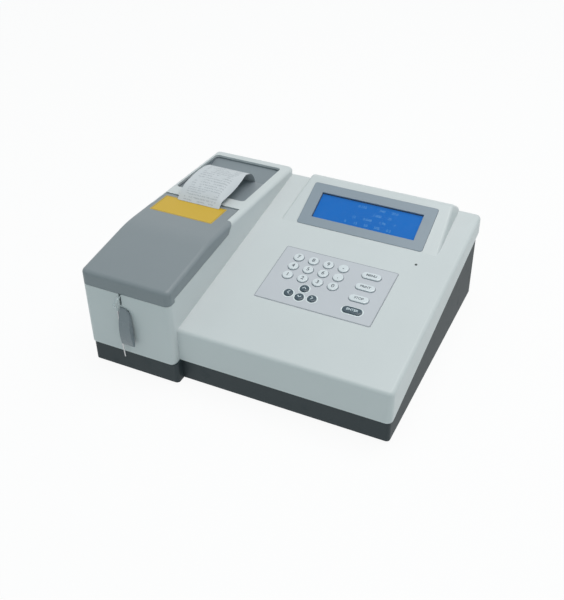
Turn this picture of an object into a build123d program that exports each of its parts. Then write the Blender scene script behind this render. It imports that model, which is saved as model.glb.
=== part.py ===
from build123d import *

import math
import os

# Semi-automatic chemistry analyzer: a two-part housing with a sample tower on the left, a sloping
# desk with keypad and display on the right, and the optics, pump, printer and electronics inside.
# While modelling, X runs from the tower's left side, Y from the tower's front face towards the back,
# and Z from the underside of the base. write_part moves every piece together into the part's frame.

# Housing
HOUSING_WIDTH = 368.0
HOUSING_DEPTH = 320.0
SHELL_WALL = 3.0
CORNER_RADIUS = 7.0
TOP_EDGE_RADIUS = 5.0
PARTING_FRONT_HEIGHT = 28.0
PARTING_SLOPE = 0.2
REAR_LIP_OVERHANG = 5.5
REAR_LIP_HEIGHT = 6.0
FOOT_HEIGHT = 4.0

# Sample tower. Its heights follow the sample deck's, and its depths follow the printer's recess.
TOWER_WIDTH = 113.7
DECK_HEIGHT = 88.0
LID_FRONT_LIP_HEIGHT = DECK_HEIGHT + 20.0
TOWER_FRONT_HEIGHT = LID_FRONT_LIP_HEIGHT + 18.0
TOWER_BEND_HEIGHT = TOWER_FRONT_HEIGHT + 10.0
TOWER_BACK_HEIGHT = TOWER_FRONT_HEIGHT - 5.0
RECESS_LENGTH = 106.0
RECESS_BACK_Y = HOUSING_DEPTH - 14.0
RECESS_FRONT_Y = RECESS_BACK_Y - RECESS_LENGTH
HINGE_Y = RECESS_FRONT_Y - 24.0
TOWER_BEND_SHARE = 0.54
TOWER_BEND_Y = TOWER_BEND_SHARE * HINGE_Y
TOWER_BEND_RADIUS = 160.0

# Desk
DESK_SETBACK = 10.7
DESK_FRONT_HEIGHT = 70.0
DESK_BACK_HEIGHT = 112.4
DESK_CENTRE_X = (TOWER_WIDTH + HOUSING_WIDTH) / 2

# Display hump
HUMP_LEFT = TOWER_WIDTH + 25.3
HUMP_RIGHT = HOUSING_WIDTH - 26.0
HUMP_LEFT_LEAN = 12.0
HUMP_RIGHT_LEAN = 5.0
HUMP_LENGTH = 72.0
HUMP_CREST_Y = HOUSING_DEPTH - 22.0
HUMP_FRONT_Y = HUMP_CREST_Y - HUMP_LENGTH
HUMP_CREST_HEIGHT = DESK_BACK_HEIGHT + 17.6
HUMP_CREST_RADIUS = 9.0
HUMP_EDGE_RADIUS = 4.0
HUMP_BACK_RUN = 17.0
HUMP_BACK_DROP = 12.0

# Base pan
BASE_FRONT_INSET = 2.6
BASE_TOWER_INSET = 0.8
BASE_LEFT_INSET = 2.6
BASE_RIGHT_INSET = 2.0
BASE_STEP_SHIFT = 2.0
BASE_CAVITY_INSET = 5.4
BASE_REAR_WALL = 3.0
BASE_FLOOR = 3.0
LIP_CLEARANCE = 0.3
LIP_THICKNESS = 1.5
LIP_HEIGHT = 4.0
FOOT_RADIUS = 8.0
FOOT_SEAT_DEPTH = 1.2
FOOT_INSET_X = 30.0
FOOT_INSET_Y = 30.0

# Housing screws and their bosses
SCREW_INSET_X = 16.0
SCREW_FRONT_Y = 27.0
SCREW_BACK_Y = HOUSING_DEPTH - 22.0
BOSS_RADIUS = 6.0
POST_RADIUS = 4.5
POST_LENGTH = 24.0
POST_RIB = 2.0
POST_RIB_RISE = 8.0
SCREW_RADIUS = 1.5
SCREW_CLEARANCE = 0.3
SCREW_LENGTH = 16.0
SCREW_HEAD_RADIUS = 3.0
SCREW_HEAD_HEIGHT = 2.2
SCREW_SEAT = 4.0
COUNTERBORE_RADIUS = 3.6
PILOT_CLEARANCE = 0.05

# Sample lid and its hinge
LID_WALL = 2.5
LID_GAP = 0.5
LID_STEP_Y = 12.0
LID_SIDE_LIP_FRONT_HEIGHT = LID_FRONT_LIP_HEIGHT + 4.0
LID_SIDE_LIP_BACK_HEIGHT = LID_FRONT_LIP_HEIGHT + 13.5
LID_SLANT_TOP_Y = HINGE_Y - 27.0
LID_SLANT_RUN = 12.0
LID_SIDE_LIP_BACK_Y = LID_SLANT_TOP_Y - LID_SLANT_RUN
LID_REAR_LEFT = 4.5
LID_REAR_RIGHT = TOWER_WIDTH - 8.2
HINGE_DEPTH = 4.4
HINGE_RELIEF_ANGLE = 84.0
HINGE_PIN_RADIUS = 1.5
HINGE_PIN_LENGTH = 17.0
HINGE_BORE_CLEARANCE = 0.05
HINGE_EAR_RADIUS = 2.8
HINGE_EAR_WIDTH = 8.0
HINGE_NOTCH_RADIUS = 3.1
HINGE_EAR_GAP = 0.6
HINGE_EAR_INSET = 18.5
HINGE_ARM_DROP = 12.0
HINGE_ARM_THICKNESS = 3.0
HINGE_ARM_BACK_Y = HINGE_Y + 15.0

# Sample deck under the lid
DECK_THICKNESS = 2.5
DECK_BACK_Y = HINGE_Y + 14.0
DECK_FIT = 0.4
DECK_LEDGE_WIDTH = 4.0
DECK_LEDGE_THICKNESS = 2.5
DECK_LEDGE_FRONT_Y = 14.0
DECK_LEDGE_LEFT_BACK_Y = DECK_BACK_Y - 10.0
DECK_LEDGE_RIGHT_BACK_Y = DECK_BACK_Y - 80.0
DECK_UPSTAND_HEIGHT = 20.0

# Aspirate key, its slot and its pivot
SLIT_X = 50.0
SLIT_WIDTH = 3.0
SLIT_FOOT_HEIGHT = DECK_HEIGHT + 4.0
KEY_LEFT = 49.2
KEY_TOP_RIGHT = 62.0
KEY_BOTTOM_RIGHT = 65.5
KEY_TOP = DECK_HEIGHT + 2.0
KEY_BOTTOM = PARTING_FRONT_HEIGHT + 14.0
KEY_ROUND_RADIUS = 11.0
KEY_BULGE = 8.5
KEY_BULGE_HEIGHT = KEY_BOTTOM + 20.0
KEY_BACK_TOP_GAP = 0.5
KEY_BACK_BOTTOM_GAP = 4.2
KEY_FRONT_BOTTOM = 6.6
KEY_ANGLE = 4.0
WEB_WIDTH = 5.0
WEB_X = 56.5
WEB_TOP = DECK_HEIGHT - 2.0
WEB_BOTTOM = KEY_BOTTOM + 6.0
WEB_DEPTH = 10.0
WEB_GAP = 0.8
PIVOT_Y = 7.0
PIVOT_HEIGHT = WEB_TOP - 5.0
PIVOT_RADIUS = 1.5
PIVOT_EAR_RADIUS = 4.0
PIVOT_EAR_WIDTH = 2.5
PIVOT_FIT = 0.04
SWITCH_DEPTH = 7.0
SWITCH_WIDTH = 10.0
SWITCH_HEIGHT = 16.0
SWITCH_CENTRE_HEIGHT = WEB_BOTTOM + 9.0
SWITCH_PLUNGER_RADIUS = 1.2
SWITCH_PLUNGER_LENGTH = 1.2
SWITCH_SHELF_THICKNESS = 2.5

# Sample probe and sample tube
PROBE_RADIUS = 0.8
PROBE_X = 47.2
PROBE_Y = -3.0
PROBE_TOP = DECK_HEIGHT - 2.0
PROBE_BEND_HEIGHT = KEY_BOTTOM - 2.0
PROBE_TIP_X = 51.5
PROBE_TIP_Y = -6.6
PROBE_TIP_HEIGHT = PROBE_BEND_HEIGHT - 16.0
PROBE_BEND_RADIUS = 10.0
TUBE_RADIUS = 1.1

# Desk keypad
KEYPAD_WIDTH = 142.0
KEYPAD_LENGTH = 92.5
KEYPAD_CENTRE_X = DESK_CENTRE_X - 1.05
KEYPAD_CENTRE_Y = HUMP_FRONT_Y - 89.1
KEYPAD_POCKET = 0.8
KEYPAD_PANEL_THICKNESS = 1.2
KEYPAD_FIT = 0.3
KEYPAD_CORNER_RADIUS = 2.0
KEY_TRAVEL = 0.8
KEY_STANDS_PROUD = 1.5
KEY_CAP_EDGE = 0.5
KEY_SIDE_GAP = 0.35
KEY_FLANGE_LIP = 0.9
KEY_FLANGE_THICKNESS = 1.0
KEY_FLANGE_GAP = 0.3
KEY_STEM_RADIUS = 2.0
KEY_STEM_LENGTH = 1.5
ROUND_KEY_RADIUS = 6.2
ARROW_KEY_RADIUS = 5.4
OVAL_KEY_WIDTH = 23.5
OVAL_KEY_HEIGHT = 10.0
# Key places count from the keypad's centre, rightwards and towards the back.
NUMBER_LEFT = -48.8
NUMBER_BACK = 30.4
NUMBER_PITCH_X = 19.0
NUMBER_PITCH_Y = 16.0
NUMBER_KEY_NAMES = (
    ("key_1", "key_2", "key_3", "key_4"),
    ("key_5", "key_6", "key_7", "key_8"),
    ("key_9", "key_0", "key_point", "key_minus"),
)
ARROW_CENTRE_X = -20.6
ARROW_SIDE_Y = -28.3
ARROW_REACH_X = 14.6
ARROW_UP_Y = -16.1
ARROW_DOWN_Y = -30.7
OVAL_KEY_X = 43.6
OVAL_BACK = 29.3
OVAL_PITCH = 19.7
OVAL_KEY_NAMES = ("key_menu", "key_print", "key_stop", "key_enter")
DOME_RADIUS = 3.0
DOME_HEIGHT = 0.8
DOME_GAP = 0.3
BOARD_THICKNESS = 1.6
KEYPAD_BOARD_MARGIN = 5.0
KEYPAD_BOSS_RADIUS = 2.5

# Status lamp
LAMP_X = HUMP_RIGHT - 18.5
LAMP_Y = HUMP_FRONT_Y - 21.6
LAMP_RADIUS = 1.6
LAMP_STANDS_PROUD = 0.6
LAMP_LENGTH = 7.0
LAMP_FLANGE = 0.5
LAMP_FIT = 0.1

# Display
BEZEL_LEFT = HUMP_LEFT + 21.0
BEZEL_RIGHT = HUMP_RIGHT - 19.5
BEZEL_WIDTH = BEZEL_RIGHT - BEZEL_LEFT
BEZEL_HEIGHT = HUMP_LENGTH - 7.0
BEZEL_CENTRE_X = (BEZEL_LEFT + BEZEL_RIGHT) / 2
BEZEL_START = 1.2
BEZEL_THICKNESS = 1.8
BEZEL_STANDS_PROUD = 0.5
BEZEL_CORNER_RADIUS = 3.0
VIEW_WIDTH = BEZEL_WIDTH - 29.5
VIEW_HEIGHT = BEZEL_HEIGHT - 26.0
GLASS_MARGIN = 3.0
GLASS_THICKNESS = 1.5
DISPLAY_FIT = 0.3
MODULE_MARGIN = 8.0
MODULE_THICKNESS = 9.0

# Printer recess, mechanism and paper
RECESS_LEFT = 5.6
RECESS_RIGHT = TOWER_WIDTH - 12.2
RECESS_CORNER_RADIUS = 5.0
TRAY_WALL = 1.5
TRAY_TOP_DEPTH = 3.5
TRAY_SHELF_DEPTH = 5.0
TRAY_STEP_Y = RECESS_BACK_Y - 43.0
TRAY_STEP_RUN = 5.0
TRAY_STEP_DEPTH = 15.0
TRAY_BACK_DEPTH = 4.5
SLOT_MARGIN = 2.0
SLOT_SIDE_GAP = 0.5
PAPER_WIDTH = 58.0
PAPER_CENTRE_X = RECESS_LEFT + 49.9
PAPER_THICKNESS = 0.4
PAPER_LID_GAP = 0.3
# The strip's path: how far behind the tray's step, and how far over the tower's top
PAPER_PATH = (
    (1.4, -23.0),
    (1.6, -14.0),
    (1.2, -5.0),
    (-2.0, 4.0),
    (-10.0, 11.5),
    (-23.0, 15.8),
    (-37.0, 17.0),
    (-55.0, 16.3),
    (-73.0, 13.6),
    (-84.0, 8.6),
)
PAPER_END_Y = HINGE_Y - 7.5
ROLL_RADIUS = 20.0
ROLL_CORE_RADIUS = 6.3
PRINTER_FRONT_Y = RECESS_FRONT_Y + 6.0
PRINTER_BACK_Y = RECESS_BACK_Y - 28.0
ROLL_CENTRE_Y = PRINTER_FRONT_Y + 23.0
ROLL_CENTRE_HEIGHT = TOWER_BACK_HEIGHT - 33.0
SPINDLE_RADIUS = 6.0
PLATEN_RADIUS = 5.0
PLATEN_SHAFT_RADIUS = 2.0
PLATEN_CENTRE_Y = TRAY_STEP_Y - 4.0
PLATEN_DEPTH = 25.0
PRINTER_SIDE_THICKNESS = 2.0
PRINTER_SIDE_GAP = 1.0
PRINTER_FOOT_HEIGHT = ROLL_CENTRE_HEIGHT - ROLL_RADIUS - 4.0
PRINTER_FOOT_THICKNESS = 2.0
PRINTER_SHAFT_FIT = 0.05
PRINTER_SIDE_HEIGHT = 40.0
PRINT_HEAD_GAP = 0.9
PRINT_HEAD_THICKNESS = 5.0
PRINT_HEAD_HEIGHT = 10.0
PRINTER_STAND_LEFT = PAPER_CENTRE_X - 10.5
PRINTER_STAND_RIGHT = PAPER_CENTRE_X + 24.5
PRINTER_STAND_INSET = 6.0

# Optics below the deck
OPTICAL_AXIS_Y = HOUSING_DEPTH * 3 / 16
OPTICAL_AXIS_HEIGHT = DECK_HEIGHT - 26.0
LIGHT_BORE_RADIUS = 4.0
OPTICS_LEFT = 60.0
OPTICS_LENGTH = 38.0
OPTICS_WIDTH = 44.0
OPTICS_HEIGHT = 34.0
CELL_SIZE = 14.0
CELL_FIT = 0.3
CELL_DEPTH = 33.0
CELL_HEAD_HEIGHT = 14.0
CELL_HEAD_MARGIN = 4.0
CELL_WINDOW_RADIUS = 2.0
CELL_PORT_RADIUS = 2.0
CELL_PORT_HEIGHT = 3.0
MOTOR_PLATE_THICKNESS = 2.0
MOTOR_PLATE_MARGIN = 3.0
FILTER_WHEEL_GAP = 2.0
FILTER_SHAFT_DEPTH = 6.0
FILTER_WHEEL_RADIUS = 28.0
FILTER_WHEEL_THICKNESS = 6.0
FILTER_RING_RADIUS = 20.0
FILTER_RADIUS = 6.0
FILTER_SEAT = 1.5
FILTER_COUNT = 8
FILTER_SHAFT_RADIUS = 2.5
FILTER_MOTOR_RADIUS = 10.0
FILTER_MOTOR_LENGTH = 20.0
SHAFT_FIT = 0.05
LAMP_MODULE_LEFT = 8.0
LAMP_MODULE_LENGTH = 34.0
LAMP_MODULE_WIDTH = 40.0
LAMP_MODULE_HEIGHT = 44.0
LAMP_FIN_COUNT = 6
LAMP_FIN_THICKNESS = 2.0
LAMP_FIN_DEPTH = 12.0
DETECTOR_BOARD_WIDTH = 40.0
DETECTOR_BOARD_HEIGHT = 30.0
DETECTOR_AMPLIFIER_WIDTH = 16.0
DETECTOR_AMPLIFIER_HEIGHT = 12.0
DETECTOR_AMPLIFIER_DEPTH = 4.0

# Peristaltic pump on the deck
PUMP_X = 38.0
PUMP_Y = HOUSING_DEPTH * 2 / 5
PUMP_HOUSING_RADIUS = 25.0
PUMP_HOUSING_HEIGHT = 20.0
PUMP_FLOOR = 3.0
PUMP_TRACK_RADIUS = 20.0
PUMP_TUBE_RADIUS = 1.5
PUMP_TUBE_FIT = 0.2
PUMP_TUBE_HEIGHT = 11.0
PUMP_ROTOR_RADIUS = 15.5
PUMP_ROLLER_RADIUS = 3.2
PUMP_ROLLER_RING = 13.2
PUMP_ROLLER_COUNT = 3
PUMP_ROTOR_PLATE = 2.0
PUMP_ROTOR_TOP = 18.0
PUMP_ROTOR_FLOOR_GAP = 0.4
PUMP_SHAFT_RADIUS = 3.0
PUMP_MOTOR_RADIUS = 19.0
PUMP_MOTOR_LENGTH = 34.0
PUMP_TUBE_LEAD = 8.0
PUMP_TUBE_ENTRY = 18.0
PUMP_TUBE_EXIT = 30.0
DECK_SHAFT_HOLE_RADIUS = 6.0
DECK_TUBE_HOLE_RADIUS = 5.0

# Rear panel
FAN_X = 92.0
FAN_HEIGHT = 44.0
FAN_SIZE = 60.0
FAN_THICKNESS = 15.0
FAN_BORE_RADIUS = 28.0
FAN_HUB_RADIUS = 13.0
FAN_BLADE_RADIUS = 26.5
FAN_BLADE_COUNT = 7
FAN_BLADE_THICKNESS = 1.4
FAN_BLADE_PITCH = 35.0
FAN_SHAFT_RADIUS = 2.0
FAN_RIB_WIDTH = 3.0
FAN_ROTOR_GAP = 0.6
GRILLE_SLOT_COUNT = 7
GRILLE_SLOT_WIDTH = 3.2
GRILLE_PITCH = 7.0
SERIAL_X = HOUSING_WIDTH - 172.0
SERIAL_HEIGHT = 34.0
SERIAL_WIDTH = 31.0
SERIAL_TALL = 12.5
SERIAL_BODY_WIDTH = 20.0
SERIAL_BODY_TALL = 10.5
INLET_X = HOUSING_WIDTH - 78.0
INLET_HEIGHT = 40.0
INLET_WIDTH = 60.0
INLET_TALL = 28.0
INLET_FLANGE = 3.0
INLET_BODY_WIDTH = 48.0
INLET_BODY_TALL = 22.0
INLET_BODY_DEPTH = 24.0
SOCKET_X = INLET_X + 9.0
SOCKET_WIDTH = 24.5
SOCKET_TALL = 17.0
SOCKET_DEPTH = 17.0
SOCKET_CHAMFER = 5.0
PIN_WIDTH = 2.0
PIN_TALL = 4.0
PIN_LENGTH = 13.0
PIN_SPREAD = 7.0
PIN_RISE = 2.0
SWITCH_X = INLET_X - 14.0
ROCKER_WELL_DEPTH = 11.0
ROCKER_WIDTH = 10.4
ROCKER_REACH = 7.6
ROCKER_END_RISE = 3.6
ROCKER_WAIST_RISE = 1.6
ROCKER_BELLY = 4.5
ROCKER_GAP = 0.4
ROCKER_ANGLE = 18.0
ROCKER_AXLE_RADIUS = 1.5
ROCKER_AXLE_LENGTH = 1.6
ROCKER_AXLE_DEPTH = 2.0
ROCKER_AXLE_FIT = 0.05
SPIGOT_X = 36.0
SPIGOT_HEIGHT = 40.0
SPIGOT_RADIUS = 3.0
SPIGOT_BORE_RADIUS = 1.8
SPIGOT_LENGTH = 20.0
SPIGOT_NUT_SIZE = 12.0
SPIGOT_NUT_THICKNESS = 4.0
SPIGOT_THREAD_RADIUS = 4.0
SPIGOT_INNER_LENGTH = 14.0
SPIGOT_INNER_RADIUS = 2.6
PANEL_FIT = 0.2

# Electronics on the base floor
MAIN_BOARD_X = TOWER_WIDTH + 16.3
MAIN_BOARD_Y = 40.0
MAIN_BOARD_WIDTH = HOUSING_WIDTH - 48.0 - MAIN_BOARD_X
MAIN_BOARD_LENGTH = HOUSING_DEPTH * 3 / 8
STANDOFF_HEIGHT = 6.0
STANDOFF_RADIUS = 3.0
STANDOFF_INSET = 6.0
SUPPLY_WIDTH = 110.0
SUPPLY_X = HOUSING_WIDTH - 46.0 - SUPPLY_WIDTH
SUPPLY_Y = MAIN_BOARD_Y + MAIN_BOARD_LENGTH + 20.0
SUPPLY_LENGTH = 70.0
SUPPLY_HEIGHT = 38.0
SUPPLY_SHEET = 1.2
TERMINAL_DEPTH = 12.0
# Each larger component of the main board: its middle as shares of the board, then its size
MAIN_BOARD_CHIPS = (
    (0.17, 0.35, 24.0, 24.0, 3.0),
    (0.35, 0.43, 14.0, 36.0, 4.0),
    (0.50, 0.43, 14.0, 36.0, 4.0),
    (0.70, 0.28, 22.0, 18.0, 14.0),
    (0.88, 0.38, 12.0, 50.0, 9.0),
    (0.30, 0.07, 60.0, 8.0, 9.0),
)
CAPACITOR_COUNT = 5
CAPACITOR_START = 20.0
CAPACITOR_PITCH = 14.0
CAPACITOR_RADIUS = 5.0
CAPACITOR_HEIGHT = 16.0

BIG = 1000.0


# Places that several pieces share

def parting_height(y):
    """Height of the joint between base and shell at depth y."""
    return PARTING_FRONT_HEIGHT + PARTING_SLOPE * (y - DESK_SETBACK)


def tower_top(y):
    """Height of the tower's top behind its bend."""
    share = (y - TOWER_BEND_Y) / (HOUSING_DEPTH - TOWER_BEND_Y)
    return TOWER_BEND_HEIGHT + share * (TOWER_BACK_HEIGHT - TOWER_BEND_HEIGHT)


def desk_top(y):
    """Height of the desk's sloping top."""
    share = (y - DESK_SETBACK) / (HOUSING_DEPTH - DESK_SETBACK)
    return DESK_FRONT_HEIGHT + share * (DESK_BACK_HEIGHT - DESK_FRONT_HEIGHT)


DESK_ANGLE = math.degrees(
    math.atan2(DESK_BACK_HEIGHT - DESK_FRONT_HEIGHT, HOUSING_DEPTH - DESK_SETBACK)
)
HUMP_ANGLE = math.degrees(
    math.atan2(HUMP_CREST_HEIGHT - desk_top(HUMP_FRONT_Y), HUMP_CREST_Y - HUMP_FRONT_Y)
)
BASE_REAR_Y = HOUSING_DEPTH - REAR_LIP_OVERHANG
HINGE_HEIGHT = tower_top(HINGE_Y) - HINGE_DEPTH
DECK_TOP = DECK_HEIGHT + DECK_THICKNESS
REAR_REACH = BASE_REAR_Y + SPIGOT_LENGTH
FRONT_REACH = -KEY_BULGE
TO_PART_FRAME = Location(
    (-HOUSING_WIDTH / 2, -(REAR_REACH + FRONT_REACH) / 2, FOOT_HEIGHT)
)
# Profiles drawn in this plane have Y along their first axis and Z along their second.
SIDE_PLANE = Plane.YZ
# Profiles drawn in this plane have X and Z, and extrude towards the front for a positive amount.
FRONT_PLANE = Plane.XZ


def write_part(name, shape):
    """Moves a piece into the part's frame and writes it."""
    os.makedirs("parts", exist_ok=True)
    export_step(TO_PART_FRAME * shape, os.path.join("parts", name + ".step"))


def block(x0, x1, y0, y1, z0, z1):
    """A box between two corners."""
    return Pos((x0 + x1) / 2, (y0 + y1) / 2, (z0 + z1) / 2) * Box(x1 - x0, y1 - y0, z1 - z0)


def cylinder_x(radius, x0, x1, y, z):
    """A cylinder lying along X."""
    return Pos((x0 + x1) / 2, y, z) * Rot(0, 90, 0) * Cylinder(radius, x1 - x0)


def cylinder_y(radius, y0, y1, x, z):
    """A cylinder lying along Y."""
    return Pos(x, (y0 + y1) / 2, z) * Rot(90, 0, 0) * Cylinder(radius, y1 - y0)


def cylinder_z(radius, z0, z1, x, y):
    """An upright cylinder."""
    return Pos(x, y, (z0 + z1) / 2) * Cylinder(radius, z1 - z0)


def side_prism(points, x0, x1):
    """A closed profile of (y, z) points, extruded from x0 to x1."""
    profile = make_face(Polyline(*points, close=True))
    return Pos(x0, 0, 0) * extrude(SIDE_PLANE * profile, x1 - x0)


def below_parting(rise=0.0):
    """Everything under the joint between base and shell, lifted by rise."""
    return side_prism(
        (
            (-BIG, -BIG),
            (BIG, -BIG),
            (BIG, parting_height(BIG) + rise),
            (-BIG, parting_height(-BIG) + rise),
        ),
        -BIG,
        BIG,
    )


def joined(shapes):
    """Fuses a list of solids into one shape."""
    first, *rest = shapes
    for shape in rest:
        first = first + shape
    return first


# Outer forms, each of which can be drawn again further in for the hollow

def rounded_top_block(profile, x0, x1, inset, top_edges_above):
    """Extrudes a side profile and rounds its upright corners and its upper edges."""
    if inset:
        profile = offset(profile, -inset, kind=Kind.INTERSECTION)
    solid = Pos(x0 + inset, 0, 0) * extrude(SIDE_PLANE * profile, x1 - x0 - 2 * inset)
    upright = solid.edges().filter_by(Axis.Z)
    solid = fillet(upright, max(CORNER_RADIUS - inset, 1.0))
    top = [edge for edge in solid.edges() if top_edges_above(edge)]
    return fillet(top, max(TOP_EDGE_RADIUS - inset, 0.8))


def tower_form(inset=0.0):
    """The tower's outer form, with its gently bent top."""
    corners = (
        (0, 0),
        (0, TOWER_FRONT_HEIGHT),
        (TOWER_BEND_Y, TOWER_BEND_HEIGHT),
        (HOUSING_DEPTH, TOWER_BACK_HEIGHT),
        (HOUSING_DEPTH, 0),
    )
    profile = make_face(Polyline(*corners, close=True))
    bend = profile.vertices().sort_by(Axis.Y)[-1]
    profile = fillet(bend, TOWER_BEND_RADIUS)
    lowest_top = min(TOWER_FRONT_HEIGHT, TOWER_BACK_HEIGHT) - inset - 4.0
    return rounded_top_block(
        profile, 0, TOWER_WIDTH, inset, lambda edge: edge.bounding_box().min.Z > lowest_top
    )


def desk_form(inset=0.0):
    """The desk's outer form. Its left end is buried in the tower."""
    corners = (
        (DESK_SETBACK, 0),
        (DESK_SETBACK, DESK_FRONT_HEIGHT),
        (HOUSING_DEPTH, DESK_BACK_HEIGHT),
        (HOUSING_DEPTH, 0),
    )
    profile = make_face(Polyline(*corners, close=True))
    lowest_top = DESK_FRONT_HEIGHT - inset - 4.0
    return rounded_top_block(
        profile,
        TOWER_WIDTH - 2 * CORNER_RADIUS - inset,
        HOUSING_WIDTH,
        inset,
        lambda edge: edge.bounding_box().min.Z > lowest_top,
    )


def hump_form(inset=0.0):
    """The tilted display housing that rises out of the desk."""
    back_y = HUMP_CREST_Y + HUMP_BACK_RUN
    side = make_face(
        Polyline(
            (HUMP_FRONT_Y, desk_top(HUMP_FRONT_Y)),
            (HUMP_CREST_Y, HUMP_CREST_HEIGHT),
            (back_y, HUMP_CREST_HEIGHT - HUMP_BACK_DROP),
            (back_y, DESK_FRONT_HEIGHT),
            (HUMP_FRONT_Y, DESK_FRONT_HEIGHT),
            close=True,
        )
    )
    side = fillet(side.vertices().sort_by(Axis.Y)[-1], HUMP_CREST_RADIUS)
    rise = HUMP_CREST_HEIGHT - desk_top(HUMP_FRONT_Y)
    drop = (desk_top(HUMP_FRONT_Y) - DESK_FRONT_HEIGHT) / rise
    front = make_face(
        Polyline(
            (HUMP_LEFT - drop * HUMP_LEFT_LEAN, DESK_FRONT_HEIGHT),
            (HUMP_LEFT + HUMP_LEFT_LEAN, HUMP_CREST_HEIGHT),
            (HUMP_RIGHT - HUMP_RIGHT_LEAN, HUMP_CREST_HEIGHT),
            (HUMP_RIGHT + drop * HUMP_RIGHT_LEAN, DESK_FRONT_HEIGHT),
            close=True,
        )
    )
    if inset:
        side = offset(side, -inset, kind=Kind.INTERSECTION)
        front = offset(front, -inset, kind=Kind.INTERSECTION)
    solid = extrude(SIDE_PLANE * side, HOUSING_WIDTH) & extrude(FRONT_PLANE * front, -HOUSING_DEPTH)
    crest_level = DESK_FRONT_HEIGHT + 1.0
    rims = [
        edge
        for edge in solid.edges()
        if edge.bounding_box().min.Z > crest_level
        and edge.bounding_box().size.Y > 1.0
        and edge.bounding_box().size.X < HUMP_LEFT_LEAN + HUMP_CREST_RADIUS
    ]
    return fillet(rims, max(HUMP_EDGE_RADIUS - inset, 0.8))


def outline(insets, step_shift, corner_radius):
    """The housing's footprint, drawn in by (left, tower front, desk front, right, rear)."""
    left, tower, desk, right, rear = insets
    step_x = TOWER_WIDTH + step_shift
    corners = (
        (left, tower),
        (step_x, tower),
        (step_x, DESK_SETBACK + desk),
        (HOUSING_WIDTH - right, DESK_SETBACK + desk),
        (HOUSING_WIDTH - right, HOUSING_DEPTH - rear),
        (left, HOUSING_DEPTH - rear),
    )
    face = make_face(Polyline(*corners, close=True))
    inward = DESK_SETBACK + desk
    rounded = [
        vertex
        for vertex in face.vertices()
        if not (abs(vertex.X - step_x) < 0.01 and abs(vertex.Y - inward) < 0.01)
    ]
    return fillet(rounded, corner_radius)


# Planes of the display, the keypad and the tower's rear top, with X to the right and Z outwards

DISPLAY_CENTRE_RUN = BEZEL_START + BEZEL_HEIGHT / 2
DISPLAY_PLANE = Plane(
    origin=(
        BEZEL_CENTRE_X,
        HUMP_FRONT_Y + DISPLAY_CENTRE_RUN * math.cos(math.radians(HUMP_ANGLE)),
        desk_top(HUMP_FRONT_Y) + DISPLAY_CENTRE_RUN * math.sin(math.radians(HUMP_ANGLE)),
    ),
    x_dir=(1, 0, 0),
    z_dir=(0, -math.sin(math.radians(HUMP_ANGLE)), math.cos(math.radians(HUMP_ANGLE))),
)


def desk_plane(x, y):
    """A plane on the desk's top at (x, y)."""
    angle = math.radians(DESK_ANGLE)
    return Plane(
        origin=(x, y, desk_top(y)),
        x_dir=(1, 0, 0),
        z_dir=(0, -math.sin(angle), math.cos(angle)),
    )


KEYPAD_PLANE = desk_plane(KEYPAD_CENTRE_X, KEYPAD_CENTRE_Y)


def slab(plane, width, height, low, high, corner=0.0):
    """A plate on a plane, from low to high along the plane's normal."""
    shape = RectangleRounded(width, height, corner) if corner else Rectangle(width, height)
    return plane * (Pos(0, 0, low) * extrude(shape, high - low))


def disc(plane, radius, low, high):
    """A round plate or pin on a plane, from low to high along the plane's normal."""
    return plane * (Pos(0, 0, (low + high) / 2) * Cylinder(radius, high - low))


def above_top(points):
    """Turns (y, height over the tower's rear top) pairs into (y, z) points."""
    return [(y, tower_top(y) + rise) for y, rise in points]


# Keys of the desk keypad

def key_places():
    """Each key's name, its kind and its plane on the desk."""
    places = []
    for row, names in enumerate(NUMBER_KEY_NAMES):
        for column, name in enumerate(names):
            x = NUMBER_LEFT + column * NUMBER_PITCH_X
            places.append((name, "round", x, NUMBER_BACK - row * NUMBER_PITCH_Y))
    places.append(("key_left", "arrow", ARROW_CENTRE_X - ARROW_REACH_X, ARROW_SIDE_Y))
    places.append(("key_up", "arrow", ARROW_CENTRE_X, ARROW_UP_Y))
    places.append(("key_down", "arrow", ARROW_CENTRE_X, ARROW_DOWN_Y))
    places.append(("key_right", "arrow", ARROW_CENTRE_X + ARROW_REACH_X, ARROW_SIDE_Y))
    for row, name in enumerate(OVAL_KEY_NAMES):
        places.append((name, "oval", OVAL_KEY_X, OVAL_BACK - row * OVAL_PITCH))
    return [
        (name, kind, desk_plane(KEYPAD_CENTRE_X + x, KEYPAD_CENTRE_Y + y))
        for name, kind, x, y in places
    ]


def key_outline(kind, margin=0.0):
    """A key's outline, grown by margin."""
    if kind == "oval":
        radius = OVAL_KEY_HEIGHT / 2 + margin
        return SlotCenterToCenter(OVAL_KEY_WIDTH - OVAL_KEY_HEIGHT, 2 * radius)
    radius = ROUND_KEY_RADIUS if kind == "round" else ARROW_KEY_RADIUS
    return Circle(radius + margin)


def key_prism(kind, plane, margin, low, high):
    """A key-shaped prism on a plane, from low to high along its normal."""
    return plane * (Pos(0, 0, low) * extrude(key_outline(kind, margin), high - low))


PANEL_TOP = KEYPAD_PANEL_THICKNESS - KEYPAD_POCKET
KEY_FLANGE_TOP = -SHELL_WALL - KEY_FLANGE_GAP
KEY_FLANGE_BOTTOM = KEY_FLANGE_TOP - KEY_FLANGE_THICKNESS
KEY_STEM_BOTTOM = KEY_FLANGE_BOTTOM - KEY_STEM_LENGTH
DOME_TOP = KEY_STEM_BOTTOM - KEY_TRAVEL - DOME_GAP
KEYPAD_BOARD_TOP = DOME_TOP - DOME_HEIGHT


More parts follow.
